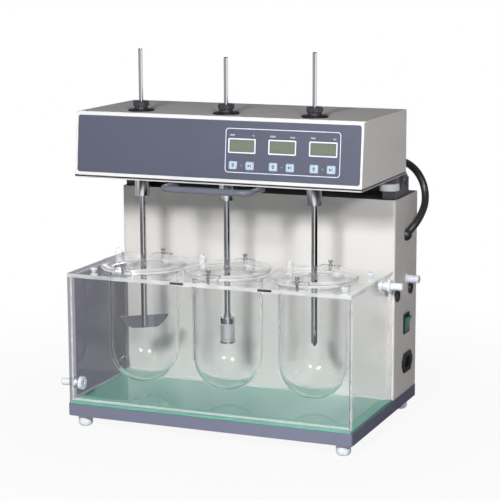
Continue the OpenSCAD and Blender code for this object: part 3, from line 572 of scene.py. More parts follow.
COAT_FINISHES: dict[Coat, Finish | ClearFinish] = {
    Coat.HOUSING: Finish("warm_grey_enamel", (214, 210, 208), 0.55, specular=0.15,
                         mottle=0.05, texture_scale=900, texture_depth=0.00005,
                         speckle=0.05, dust=0.3),
    Coat.FLOOR: Finish("grey_enamel", (198, 195, 192), 0.55, specular=0.15,
                       texture_scale=900),
    Coat.TRAY: Finish("blue_grey_enamel", (116, 118, 138), 0.46, specular=0.3,
                      texture_scale=1000, texture_depth=0.00004, speckle=0.05, dust=0.1),
    Coat.BEZEL: Finish("white_enamel", (216, 216, 215), 0.33, mottle=0.03),
    Coat.PANEL: Finish("printed_film", (77, 81, 98), 0.5, specular=0.3, mottle=0.07,
                       texture_scale=1100, speckle=0.16, roughness_swing=0.16),
    Coat.KEY: Finish("pale_blue_film", (176, 192, 214), 0.42, mottle=0.04),
    Coat.DISPLAY: Finish("display_glass", (112, 120, 106), 0.14, coat=0.6, mottle=0.05,
                         mottle_scale=70, texture_depth=0.0, roughness_swing=0.04),
    Coat.BRACKET: Finish("dark_grey_enamel", (82, 80, 88), 0.44),
    Coat.HANDLE: Finish("handle_enamel", (104, 106, 119), 0.17, specular=0.6,
                        texture_scale=1100, texture_depth=0.000003),
    Coat.MOTOR: Finish("motor_enamel", (70, 72, 77), 0.5),
    Coat.WHITE: Finish("moulded_white", (226, 230, 234), 0.38, mottle=0.04),
    Coat.BLACK: Finish("grained_black", (34, 34, 39), 0.42, specular=0.35, texture_scale=1800,
                       texture_depth=0.00005, dust=0.05),
    Coat.GREEN: Finish("glossy_green", (18, 99, 88), 0.34, coat=0.15, mottle=0.08),
    Coat.RUBBER: Finish("matt_rubber", (37, 38, 44), 0.4, texture_scale=1400,
                        texture_depth=0.00004),
    Coat.MAT: Finish("green_foam", (104, 176, 148), 0.7, specular=0.2, mottle=0.2, mottle_scale=14,
                     texture_scale=420, texture_depth=0.0001, speckle=0.12),
    Coat.BRIGHT: Finish("bright_plating", (204, 205, 211), 0.045, metallic=1.0, mottle=0.04,
                        texture_depth=0.0000005, roughness_swing=0.02),
    Coat.STEEL: Finish("turned_stainless", (200, 201, 206), 0.09, metallic=1.0, mottle=0.04,
                       texture=Texture.TURNED, texture_scale=2600, texture_depth=0.000001,
                       roughness_swing=0.06),
    Coat.ACRYLIC: ClearFinish("clear_acrylic", WHITE, 1.49),
    Coat.GLASS: ClearFinish("clear_glass", WHITE, 1.38, smear=0.01, sheen=0.7),
}
EXTRA_FINISHES: tuple[Finish | PaneFinish | HazeFinish, ...] = (
    PaneFinish("acrylic_sheet", (252, 253, 253)),
    # Painted shade: a dark tint that stands for the dark surroundings seen through the tank's left
    # wall and the plate's left edge.
    PaneFinish("painted_shade_acrylic", (162, 161, 170)),
    HazeFinish("milky_edge", (230, 231, 232), 0.35, 0.6, 40.0),
    HazeFinish("glued_edge", (216, 213, 216), 0.35, 0.6, 90.0, Texture.BRUSHED),
    # Painted shade: the dark line beside the tank's front right corner.
    HazeFinish("corner_painted_shade", (118, 113, 122), 0.5, 0.75, 90.0, Texture.BRUSHED),
    HazeFinish("clear_knob", (236, 238, 240), 0.12, 0.36, 160.0),
    # Painted light and shade: the head's sides are a lighter copy and its roof a darker copy of the
    # housing paint.
    Finish("head_side_painted_light", (232, 229, 227), 0.55, specular=0.15, mottle=0.05, texture_scale=900,
           texture_depth=0.00005, speckle=0.05),
    Finish("roof_painted_shade", (192, 189, 189), 0.75, specular=0.05, mottle=0.05, texture_scale=900,
           texture_depth=0.00005, speckle=0.05, dust=0.3),
    Finish("print_white", (226, 233, 247), 0.45, mottle=0.03),
    Finish("print_dark", (58, 66, 88), 0.5, mottle=0.05),
    Finish("ghost_segment", (118, 127, 112), 0.2, mottle=0.05),
    Finish("lamp_dot", (176, 180, 176), 0.25, coat=0.3, mottle=0.05),
    # Painted light: a lighter copy of the mat's green for its top faces.
    Finish("mat_top_painted_light", (140, 191, 178), 0.6, specular=0.2, mottle=0.2, mottle_scale=14,
           texture_scale=420, texture_depth=0.0001, speckle=0.1),
    Finish("pale_cap", (206, 208, 222), 0.36, mottle=0.05, texture_scale=900),
    Finish("satin_screw", (206, 207, 213), 0.22, metallic=1.0, mottle=0.05,
           texture_depth=0.00001),
    Finish("woven_wire", (196, 196, 199), 0.34, metallic=1.0, mottle=0.1, mottle_scale=400,
           texture_depth=0.00001),
    Finish("washer_black", (22, 22, 25), 0.5, specular=0.25, texture_scale=1800),
    Finish("nut_black", (46, 45, 52), 0.3, coat=0.4, texture_scale=1800, texture_depth=0.00004),
    Finish("brushed_blade", (100, 100, 107), 0.36, metallic=1.0, mottle=0.1,
           texture=Texture.BRUSHED, texture_scale=2400, texture_depth=0.000002,
           roughness_swing=0.08),
)


class Workshop:
    """Makes meshes into pieces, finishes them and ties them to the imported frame."""

    def __init__(self, frame: dict) -> None:
        """Builds every finish once.
        """
        self.nodes: dict[str, bpy.types.Object] = frame["nodes"]
        effects = Effects()
        finishes = {**COAT_FINISHES, **{finish.name: finish for finish in EXTRA_FINISHES}}
        self.finishes = {key: finish.build(effects) for key, finish in finishes.items()}
        self.bodies = {
            node: body
            for body, members in frame["record"]["behaviour"]["bodies"].items()
            for node in members
        }

    def piece(self, name: str, mesh: bpy.types.Mesh, body: str, coat: Coat,
              finish: str | None = None, stands_for: Sequence[str] = ()) -> bpy.types.Object:
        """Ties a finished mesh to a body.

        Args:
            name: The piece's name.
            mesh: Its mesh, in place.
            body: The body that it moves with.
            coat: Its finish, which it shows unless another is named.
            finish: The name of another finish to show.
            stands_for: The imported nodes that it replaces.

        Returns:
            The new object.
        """
        mesh.name = name
        if not mesh.materials:
            mesh.materials.append(self.finishes[finish or coat])
        made = shown(name, mesh)
        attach(made, body)
        # Clear pieces cast no shadow, so what stands behind them keeps its light.
        made.visible_shadow = coat not in (Coat.ACRYLIC, Coat.GLASS)
        if stands_for:
            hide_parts(*stands_for)
        LOG.info("%s rides on %s", name, body)
        return made

    def coat_node(self, node: str, coat: Coat) -> None:
        """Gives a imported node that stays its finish.

        Args:
            node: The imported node's name.
            coat: The finish.
        """
        data = self.nodes[node].data
        data.materials.clear()
        data.materials.append(self.finishes[coat])

    def parted(self, mesh: bpy.types.Mesh, finishes: Sequence[Coat | str],
               parts: Sequence[int]) -> bpy.types.Mesh:
        """Gives the faces of a mesh several finishes.

        Args:
            mesh: The mesh.
            finishes: The finishes.
            parts: Which of them each face gets.

        Returns:
            The same mesh.
        """
        for finish in finishes:
            mesh.materials.append(self.finishes[finish])
        for face, part in zip(mesh.polygons, parts):
            face.material_index = int(part)
        return mesh

    def merged(self, node: str) -> bpy.types.Mesh:
        """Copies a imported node's mesh with its loose triangles joined into clean faces.

        Args:
            node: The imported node's name.

        Returns:
            The copy.
        """
        mesh = self.nodes[node].data.copy()
        mesh.materials.clear()
        shape = bmesh.new()
        shape.from_mesh(mesh)
        bmesh.ops.remove_doubles(shape, verts=shape.verts, dist=MERGE)
        bmesh.ops.dissolve_limit(shape, angle_limit=FLAT_TURN, verts=shape.verts,
                                 edges=shape.edges)
        shape.to_mesh(mesh)
        shape.free()
        # Normals of the loose triangles would not fit the joined faces.
        if "custom_normal" in mesh.attributes:
            mesh.attributes.remove(mesh.attributes["custom_normal"])
        return mesh

    @staticmethod
    def raised(mesh: bpy.types.Mesh, rise: float) -> bpy.types.Mesh:
        """Moves the top of a mesh.

        Args:
            mesh: The mesh.
            rise: How far its top goes up, in millimetres.

        Returns:
            The same mesh.
        """
        top = max(v.co.z for v in mesh.vertices)
        for v in mesh.vertices:
            if v.co.z > top - MM:
                v.co.z += rise * MM
        return mesh

    @staticmethod
    def eased(mesh: bpy.types.Mesh, width: float) -> bpy.types.Mesh:
        """Rounds the sharp edges of a mesh.

        Args:
            mesh: The mesh, which is used up.
            width: Width of the rounding, in millimetres.

        Returns:
            The mesh with round edges and smooth shading.
        """
        mesh.shade_smooth()
        holder = shown("edge_work", mesh)
        bevel = holder.modifiers.new("edges", "BEVEL")
        bevel.width = width * MM
        bevel.segments = BEVEL_STEPS
        bevel.limit_method = "ANGLE"
        bevel.angle_limit = BEVEL_TURN
        bevel.use_clamp_overlap = True
        bevel.harden_normals = True
        bevel.miter_outer = "MITER_ARC"
        return Workshop.plain(holder)

    @staticmethod
    def plain(holder: bpy.types.Object) -> bpy.types.Mesh:
        """Turns an object's evaluated shape into a plain mesh and removes the object.

        Args:
            holder: The object with its modifiers.

        Returns:
            The plain mesh.
        """
        bpy.context.view_layer.update()
        graph = bpy.context.evaluated_depsgraph_get()
        made = bpy.data.meshes.new_from_object(
            holder.evaluated_get(graph), preserve_all_data_layers=True, depsgraph=graph)
        holder.modifiers.clear()
        bpy.data.objects.remove(holder)
        return made

    def finished_node(self, node: str, coat: Coat, edge: float, finish: str | None = None) -> None:
        """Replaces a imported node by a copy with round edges.

        Args:
            node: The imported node.
            coat: Its finish.
            edge: Width of the round edges, in millimetres.
            finish: The name of another finish to show.
        """
        mesh = self.eased(self.merged(node), edge)
        self.piece(f"fine_{node}", mesh, self.bodies[node], coat, finish, [node])


def mesh_of(shape: bmesh.types.BMesh, smooth: bool = True) -> bpy.types.Mesh:
    """Turns a working shape into a mesh.

    Args:
        shape: The working shape, which is freed.
        smooth: Whether faces shade smoothly, apart from sharp edges.

    Returns:
        The mesh.
    """
    mesh = bpy.data.meshes.new("shape")
    bmesh.ops.recalc_face_normals(shape, faces=shape.faces)
    shape.to_mesh(mesh)
    shape.free()
    if smooth:
        mesh.shade_smooth()
        mesh.set_sharp_from_angle(angle=SHARP_TURN)
    return mesh


def band(shape: bmesh.types.BMesh, first: Sequence[bmesh.types.BMVert],
         second: Sequence[bmesh.types.BMVert]) -> None:
    """Joins two loops of points by a ring of faces.

    Args:
        shape: The working shape.
        first: One loop.
        second: The other, with as many points.
    """
    for k in range(len(first)):
        nxt = (k + 1) % len(first)
        shape.faces.new((first[k], first[nxt], second[nxt], second[k]))


def lathe(profile: Sequence[Pair], place: Point, segments: int = 96,
          shape: bmesh.types.BMesh | None = None) -> bmesh.types.BMesh:
    """Turns a profile about an upright axis.

    Args:
        profile: Radius and height of each point, in millimetres; a radius of 0 is a pole.
        place: Where the axis stands, in millimetres.
        segments: Steps round the axis.
        shape: A shape to add to.

    Returns:
        The turned shape, closed where the profile ends at poles.
    """
    if shape is None:
        shape = bmesh.new()
    rings = []
    for radius, height in profile:
        ring = []
        for k in range(segments if radius > 0 else 1):
            turn = 2 * math.pi * k / segments
            spot = Vector((radius * math.cos(turn), radius * math.sin(turn), height))
            ring.append(shape.verts.new((spot + Vector(place)) * MM))
        rings.append(ring)
    for low, high in zip(rings, rings[1:]):
        for k in range(segments):
            nxt = (k + 1) % segments
            corners = [low[k % len(low)], low[nxt % len(low)],
                       high[nxt % len(high)], high[k % len(high)]]
            unique = list(dict.fromkeys(corners))
            if len(unique) > 2:
                shape.faces.new(unique)
    return shape


def arc(centre: Pair, radius: float, start: float, end: float, steps: int) -> list[Pair]:
    """Points along an arc of a profile.

    Args:
        centre: Its centre, as radius and height.
        radius: Its radius.
        start: First angle, in degrees.
        end: Last angle, in degrees.
        steps: Number of steps.

    Returns:
        The points, both ends among them.
    """
    turns = [math.radians(start + (end - start) * k / steps) for k in range(steps + 1)]
    return [(centre[0] + radius * math.cos(t), centre[1] + radius * math.sin(t))
            for t in turns]


def rounded_outline(width: float, height: float, radius: float, steps: int = 6) -> list[Pair]:
    """Outline of a rectangle with round corners about the origin.

    Args:
        width: Its width.
        height: Its height.
        radius: Corner radius.
        steps: Steps in each corner.

    Returns:
        The points, anticlockwise.
    """
    x, z = width / 2 - radius, height / 2 - radius
    spots = []
    for sx, sz, first in ((1, 1, 0), (-1, 1, 90), (-1, -1, 180), (1, -1, 270)):
        spots += arc((sx * x, sz * z), radius, first, first + 90, steps)
    return spots


@dataclass
class Assembly:
    """A sub-assembly of the instrument, whose pieces the workshop finishes."""

    shop: Workshop

    def build(self) -> None:
        """Makes the pieces."""
        raise NotImplementedError


@dataclass
class VesselGlass(Assembly):
    """Three round-bottomed vessels that hang in the plate by their flanges."""

    radius: float = 53.5
    wall: float = 3.0
    bottom: float = 62.0
    flange_top: float = 246.0
    flange_radius: float = 66.0
    flange_thick: float = 5.0
    fillet: float = 2.2
    fillet_sink: float = 0.6
    brim: float = 1.2
    pole_angle: float = -86.0
    rim_slope: float = 0.8
    air: float = 0.15
    steps: int = 18
    fillet_steps: int = 5
    lip_steps: int = 10
    brim_steps: int = 4

    def profile(self) -> list[Pair]:
        """Draws the wall's outline.

        Returns:
            Its points from the outer pole up and back to the inner pole.
        """
        centre = self.bottom + self.radius
        inner = self.radius - self.wall
        low = self.flange_top - self.flange_thick + self.air
        top = self.flange_top - self.air
        lip = (top - low) / 2
        outline = [(0.0, self.bottom)]
        outline += arc((0, centre), self.radius, self.pole_angle, 0, self.steps)
        outline += arc((self.radius + self.fillet_sink + self.fillet, low - self.fillet),
                       self.fillet + self.fillet_sink, 180, 90, self.fillet_steps)
        outline += arc((self.flange_radius - lip, low + lip), lip, -90, 90, self.lip_steps)
        outline += arc((inner + self.brim, top - self.brim), self.brim, 90, 180,
                       self.brim_steps)
        outline += arc((0, centre), inner, 0, self.pole_angle, self.steps)
        outline.append((0.0, centre - inner))
        return outline

    def build(self) -> None:
        """Makes the vessels, with milky rims."""
        rim = self.flange_radius - self.flange_thick / 2
        for k, x in enumerate(STATION_X, 1):
            mesh = mesh_of(lathe(self.profile(), (x, STATION_Y, 0)))
            axis = Vector((x, STATION_Y, 0)) * MM
            parts = [(face.center - axis).to_2d().length / MM > rim
                     and abs(face.normal.z) < self.rim_slope for face in mesh.polygons]
            self.shop.parted(mesh, (Coat.GLASS, "milky_edge"), parts)
            self.shop.piece(f"glass_vessel_{k}", mesh, "base", Coat.GLASS,
                            stands_for=[f"vessel_{k}"])


@dataclass
class WaterBath(Assembly):
    """Tank, vessel plate, lids and clamps of clear sheet, and the mat below."""

    left_x: float = -219.0
    lid_z: float = 251.3
    air: float = 0.2
    edge: float = 0.5
    mat_edge: float = 0.8
    face_slope: float = 0.9
    edge_slope: float = 0.5
    seam_outer: float = 227.2
    seam_width: float = 3.0
    seam_shade: float = 1.6
    seam_low: float = 41.5
    seam_high: float = 234.0
    seam_rise: float = 3.4
    seam_rows: Pair = (-146.0, 29.0)

    def build(self) -> None:
        """Makes the bath."""
        self._tank()
        self._seams()
        self._plate()
        for k in (1, 2, 3):
            self._lid(k)
        self.shop.finished_node("clamp_bars", Coat.ACRYLIC, self.edge)
        self._mat()

    def _mat(self) -> None:
        """Makes the mat, whose top faces are lighter than its sides as painted light."""
        mesh = self.shop.raised(self.shop.merged("base_mat"), self.air)
        mesh = self.shop.eased(mesh, self.mat_edge)
        parts = [face.normal.z > self.face_slope for face in mesh.polygons]
        self.shop.parted(mesh, (Coat.MAT, "mat_top_painted_light"), parts)
        self.shop.piece("foam_mat", mesh, "base", Coat.MAT, stands_for=["base_mat"])

    def _plate(self) -> None:
        """Makes the vessel plate, with milky sawn edges, and a left edge tinted dark as painted
        shade, like the left wall.
        """
        mesh = self.shop.eased(self.shop.merged("vessel_plate"), self.edge)
        reach_x = max(v.co.x for v in mesh.vertices)
        front = min(v.co.y for v in mesh.vertices)
        parts = []
        for face in mesh.polygons:
            spot = face.center
            if abs(face.normal.z) > self.edge_slope:
                parts.append(0)
            elif spot.x > reach_x - MM or spot.y < front + MM:
                parts.append(1)
            else:
                parts.append(2 if spot.x < MM - reach_x else 0)
        # The left edge takes the dark tint of painted shade.
        self.shop.parted(mesh, ("acrylic_sheet", "milky_edge", "painted_shade_acrylic"), parts)
        self.shop.piece("clear_plate", mesh, "base", Coat.ACRYLIC, stands_for=["vessel_plate"])

    def _lid(self, k: int) -> None:
        """Makes a clear lid with milky cut edges and a clear knob.

        Args:
            k: Which lid.
        """
        mesh = self.shop.eased(self.shop.merged(f"lid_{k}"), self.edge)
        parts = [2 if face.center.z > self.lid_z * MM else abs(face.normal.z) < self.edge_slope
                 for face in mesh.polygons]
        self.shop.parted(mesh, ("acrylic_sheet", "milky_edge", "clear_knob"), parts)
        self.shop.piece(f"clear_lid_{k}", mesh, f"lid_{k}", Coat.ACRYLIC, stands_for=[f"lid_{k}"])

    def _tank(self) -> None:
        """Makes the tank, whose left wall is tinted dark as painted shade, for the dark
        surroundings seen through it.
        """
        # The rim ends a hair below the plate, so no two faces share one place.
        mesh = self.shop.eased(self.shop.raised(self.shop.merged("tank"), -self.air), self.edge)
        parts = [face.center.x < self.left_x * MM and abs(face.normal.x) > self.face_slope
                 for face in mesh.polygons]
        self.shop.parted(mesh, ("acrylic_sheet", "painted_shade_acrylic"), parts)
        self.shop.piece("clear_tank", mesh, "base", Coat.ACRYLIC, stands_for=["tank"])

    def _seams(self) -> None:
        """Makes the glue lines inside the corners, and beside the front right one a dark strip of
        painted shade.
        """
        outer, low, high = self.seam_outer, self.seam_low, self.seam_high
        inner = outer - self.seam_width
        dark = inner - self.seam_shade
        pale_spans = []
        for y in self.seam_rows:
            pale_spans += [(y, -outer, -inner, low, high), (y, inner, outer, low, high),
                           (y, -inner, dark, low, low + self.seam_rise)]
        # A dark strip of painted shade stands beside the front right glue line.
        painted_shade_spans = [(self.seam_rows[0], dark, inner, low, high)]
        for name, spans, finish in (("glue_lines", pale_spans, "glued_edge"),
                                    ("corner_shade_strip", painted_shade_spans, "corner_painted_shade")):
            shape = bmesh.new()
            for y, x0, x1, z0, z1 in spans:
                size = Vector((x1 - x0, self.air, z1 - z0)) * MM
                spot = Vector(((x0 + x1) / 2, y, (z0 + z1) / 2)) * MM
                bmesh.ops.create_cube(
                    shape, size=1.0,
                    matrix=Matrix.Translation(spot) @ Matrix.Diagonal(size).to_4x4())
            self.shop.piece(name, mesh_of(shape, False), "base", Coat.ACRYLIC, finish)


@dataclass
class FrontPanel(Assembly):
    """Print, display modules, key marks and lamps on the leaning front."""

    foot: Point = (0.0, -117.0, 387.0)
    rise: float = 95.5
    back: float = 9.0
    skin: float = 0.5
    ink: float = 0.12
    sink: float = 0.1
    outline_box: tuple[float, float, float, float] = (17.0, 195.5, 15.1, 80.0)
    outline_line: float = 0.95
    outline_corner: float = 5.0
    display_x: Point = (43.0, 106.0, 169.0)
    display_share: float = 0.568
    display_frame: Point = (43.0, 21.6, 1.8)
    display_window: Point = (39.6, 18.2, 0.7)
    frame_rise: float = 0.35
    frame_back: float = 2.2
    frame_edge: float = 0.15
    window_depths: Pair = (0.9, 2.0)
    digits: int = 4
    digit_pitch: float = 8.2
    digit_half: Pair = (2.1, 3.7)
    digit_slant: float = 0.1
    bar_thick: float = 0.62
    bar_shares: Pair = (0.78, 0.4)
    bar_depths: Pair = (0.84, 0.88)
    bars: tuple[tuple[int, int], ...] = (
        (0, 2), (0, 0), (0, -2), (-1, 1), (1, 1), (-1, -1), (1, -1))
    key_share: float = 0.27
    key_offset: float = 13.1
    key_rise: float = 0.6
    key_line: Point = (11.6, 10.6, 1.5)
    key_line_hole: Point = (11.1, 10.1, 1.3)
    line_ink: float = 0.05
    mark_ink: float = 0.06
    step_mark: tuple[tuple[Pair, ...], ...] = (
        ((-2.6, 0.5), (2.6, 0.5), (0, 3.2)), ((-2.6, -0.5), (0, -3.2), (2.6, -0.5)))
    start_mark: tuple[tuple[Pair, ...], ...] = (
        ((-2.9, -2.6), (0.3, 0), (-2.9, 2.6)),
        ((1.1, -2.6), (2.1, -2.6), (2.1, 2.6), (1.1, 2.6)))
    lamp_radius: float = 1.0
    lamp_steps: tuple[int, int] = (20, 10)
    lamp_sink: float = 0.45
    labels: tuple[tuple[str, str], ...] = (("TEMP", "°C"), ("SPEED", "r/min"), ("TIME", "min"))
    label_size: float = 3.4
    label_thick: float = 0.04
    label_lift: float = 0.05
    label_reach: float = 19.5
    label_rise: float = 15.4
    label_drop: float = 1.2
    frame: Matrix = field(init=False)
    display_z: float = field(init=False)
    key_z: float = field(init=False)

    def __post_init__(self) -> None:
        """Works out the front's own frame and the heights of its rows."""
        lean = math.atan(self.back / self.rise)
        length = self.rise / math.cos(lean)
        self.frame = Matrix.Translation(Vector(self.foot) * MM) @ Matrix.Rotation(-lean, 4, "X")
        self.display_z = length * self.display_share
        self.key_z = length * self.key_share

    def _placed(self, shape: bmesh.types.BMesh, smooth: bool = False) -> bpy.types.Mesh:
        """Puts a shape drawn in millimetres on the front.

        Args:
            shape: X across, Z up the slope and -Y outwards.
            smooth: Whether it shades smoothly.

        Returns:
            The mesh in place.
        """
        bmesh.ops.transform(shape, matrix=self.frame @ Matrix.Scale(MM, 4), verts=shape.verts)
        return mesh_of(shape, smooth)

    @staticmethod
    def slab(shape: bmesh.types.BMesh, outline: Sequence[Pair], spot: Pair, depths: Pair,
             hole: Sequence[Pair] | None = None) -> None:
        """Adds an upright plate, or a ring where it has a hole.

        Args:
            shape: The shape that grows.
            outline: Its outline.
            spot: Where its middle lies, across and up.
            depths: Its front and back.
            hole: The hole's outline, with as many points.
        """
        front, back, *inner = [
            [shape.verts.new((p[0] + spot[0], y, p[1] + spot[1])) for p in points]
            for points in (outline, hole) if points for y in depths]
        band(shape, front, back)
        if not inner:
            shape.faces.new(front)
            shape.faces.new(back)
            return
        band(shape, front, inner[0])
        band(shape, inner[0], inner[1])
        band(shape, inner[1], back)

    def build(self) -> None:
        """Makes all that is on the front."""
        self._outline()
        self._displays()
        self._digits()
        self._key_marks()
        self._lamps()
        self._labels()

    def _outline(self) -> None:
        """Makes the printed line round the displays and keys."""
        x0, x1, z0, z1 = self.outline_box
        width, height, line = x1 - x0, z1 - z0, self.outline_line
        shape = bmesh.new()
        self.slab(shape, rounded_outline(width, height, self.outline_corner),
                  ((x0 + x1) / 2, (z0 + z1) / 2), (self.skin - self.ink, self.skin + self.sink),
                  rounded_outline(width - 2 * line, height - 2 * line,
                                  self.outline_corner - line))
        self.shop.piece("panel_outline", self._placed(shape), "head", Coat.PANEL, "print_white")

    def _displays(self) -> None:
        """Makes the white frames and the windows of the three displays."""
        frames, glass = bmesh.new(), bmesh.new()
        window = rounded_outline(*self.display_window)
        for x in self.display_x:
            spot = (x, self.display_z)
            self.slab(frames, rounded_outline(*self.display_frame), spot,
                      (self.skin - self.frame_rise, self.frame_back), window)
            self.slab(glass, window, spot, self.window_depths)
        mesh = self.shop.eased(self._placed(frames), self.frame_edge)
        self.shop.piece("display_frames", mesh, "head", Coat.DISPLAY, "print_white", ["displays"])
        self.shop.piece("display_windows", self._placed(glass), "head", Coat.DISPLAY)

    def _digits(self) -> None:
        """Makes the faint unlit segments of each display."""
        shape = bmesh.new()
        half_w, half_h = self.digit_half
        slant, thick = self.digit_slant, self.bar_thick / 2
        for x in self.display_x:
            for digit in range(self.digits):
                mid = x + (digit - (self.digits - 1) / 2) * self.digit_pitch
                for side, level in self.bars:
                    cz = level / 2 * half_h
                    cx = side * half_w + cz * slant
                    w, h = thick, half_h * self.bar_shares[1]
                    if side == 0:
                        w, h = half_w * self.bar_shares[0], thick
                    corners = [(mid + cx + u + v * slant, self.display_z + cz + v)
                               for u, v in ((-w, -h), (w, -h), (w, h), (-w, h))]
                    self.slab(shape, corners, (0, 0), self.bar_depths)
        self.shop.piece("display_segments", self._placed(shape), "head", Coat.DISPLAY,
                        "ghost_segment")

    def _key_marks(self) -> None:
        """Makes a plain mark on each key: steps up and down beside a start sign."""
        face = self.skin - self.key_rise
        pairs = ((-self.key_offset, self.step_mark), (self.key_offset, self.start_mark))
        keys = [(x + offset, marks) for x in self.display_x for offset, marks in pairs]
        for k, (x, marks) in enumerate(keys, 1):
            spot = (x, self.key_z)
            shape = bmesh.new()
            for mark in marks:
                self.slab(shape, mark, spot, (face - self.mark_ink, face + self.mark_ink))
            self.slab(shape, rounded_outline(*self.key_line), spot,
                      (face - self.line_ink, face + self.line_ink),
                      rounded_outline(*self.key_line_hole))
            self.shop.piece(f"key_mark_{k}", self._placed(shape), f"key_{k}", Coat.KEY,
                            "print_dark")

    def _lamps(self) -> None:
        """Makes the small lamp between the two keys of each display."""
        shape = bmesh.new()
        for x in self.display_x:
            spot = (x, self.skin + self.lamp_sink, self.key_z)
            bmesh.ops.create_uvsphere(
                shape, u_segments=self.lamp_steps[0], v_segments=self.lamp_steps[1],
                radius=self.lamp_radius, matrix=Matrix.Translation(spot))
        self.shop.piece("panel_lamps", self._placed(shape, True), "head", Coat.PANEL, "lamp_dot")

    def _labels(self) -> None:
        """Prints plain quantity names and units above the displays."""
        upright = Matrix.Rotation(math.pi / 2, 4, "X")
        height = self.display_z + self.label_rise - self.label_drop
        joined = bmesh.new()
        for x, label in zip(self.display_x, self.labels):
            for words, side, align in zip(label, (-1, 1), ("LEFT", "RIGHT")):
                curve = bpy.data.curves.new("label", "FONT")
                curve.body = words
                curve.size = self.label_size
                curve.extrude = self.label_thick
                curve.align_x = align
                mesh = Workshop.plain(shown("label", curve))
                spot = Vector((x + side * self.label_reach, self.skin - self.label_lift, height))
                mesh.transform(Matrix.Translation(spot) @ upright)
                joined.from_mesh(mesh)
                bpy.data.meshes.remove(mesh)
                bpy.data.curves.remove(curve)
        self.shop.piece("panel_labels", self._placed(joined), "head", Coat.PANEL, "print_white")


class NodeShape:
    """A geometry node tree that is set up, applied and turned into a plain mesh."""

    LENGTH = "NodeSocketFloat"
    COUNT = "NodeSocketInt"
    VECTOR = "NodeSocketVector"
    GEOMETRY = "NodeSocketGeometry"
    MATERIAL = "NodeSocketMaterial"

    def __init__(self, name: str, inputs: dict[str, str]) -> None:
        """Starts the tree.

        Args:
            name: Its name.
            inputs: The type of each size, by its name.
        """
        self.tree = Tree(bpy.data.node_groups.new(name, "GeometryNodeTree"))
        self.tree.sockets("INPUT", {
            "Geometry": self.GEOMETRY, **inputs, "Material": self.MATERIAL})
        self.tree.sockets("OUTPUT", {"Geometry": self.GEOMETRY})
        self.given = self.tree.add("NodeGroupInput").outputs

    def end(self, geometry: Socket) -> NodeShape:
        """Realizes the instances, shades them smooth and sets the material.

        Args:
            geometry: The last geometry.

        Returns:
            The finished tree.
        """
        add = self.tree.add
        real = add("GeometryNodeRealizeInstances", {0: geometry})
        smooth = add("GeometryNodeSetShadeSmooth", {"Geometry": real.outputs[0]})
        coat = add("GeometryNodeSetMaterial", {
            "Geometry": smooth.outputs[0], "Material": self.given["Material"]})
        add("NodeGroupOutput", {0: coat.outputs[0]})
        return self

    def round_bars(self, count: str, length: str, thick: str,
                   sides: int) -> tuple[Socket, Socket, Socket]:
        """Stands round bars on a circle of the input Radius.

        Args:
            count: The input for their number.
            length: The input for their length.
            thick: The input for their own radius.
            sides: How many sides a bar has.

        Returns:
            The bars, their section and the way that they go up.
        """
        add, given = self.tree.add, self.given
        section = add("GeometryNodeCurvePrimitiveCircle", {
            "Resolution": sides, "Radius": given[thick]}).outputs[0]
        around = add("GeometryNodeMeshCircle", {
            "Vertices": given[count], "Radius": given["Radius"]})
        tall = add("ShaderNodeCombineXYZ", {"Z": given[length]}).outputs[0]
        line = add("GeometryNodeCurvePrimitiveLine", {"End": tall})
        bar = add("GeometryNodeCurveToMesh", {
            "Curve": line.outputs[0], "Profile Curve": section, "Fill Caps": True})
        stand = add("GeometryNodeInstanceOnPoints", {
            "Points": around.outputs[0], "Instance": bar.outputs[0]})
        return stand.outputs[0], section, tall

    def mesh(self, sizes: dict[str, object], material: bpy.types.Material,
             place: Point = (0, 0, 0), points: Sequence[Point] = ((0, 0, 0),)) -> bpy.types.Mesh:
        """Applies the tree.

        Args:
            sizes: The value of each named input; lengths are in millimetres.
            material: The material that it sets.
            place: Where the result goes, in millimetres.
            points: The points that it starts from, in millimetres.

        Returns:
            The plain mesh.
        """
        start = bpy.data.meshes.new("start")
        start.from_pydata([tuple(p) for p in scaled(points)], [], [])
        holder = shown("node_work", start)
        modifier = holder.modifiers.new("shape", "NODES")
        modifier.node_group = self.tree.tree
        values = {**sizes, "Material": material}
        for item in self.tree.tree.interface.items_tree:
            if item.in_out == "INPUT" and item.name in values:
                unit = MM if item.socket_type == self.LENGTH else None
                value = values[item.name]
                modifier[item.identifier] = value * unit if unit else value
        made = Workshop.plain(holder)
        made.transform(Matrix.Translation(Vector(place) * MM))
        return made


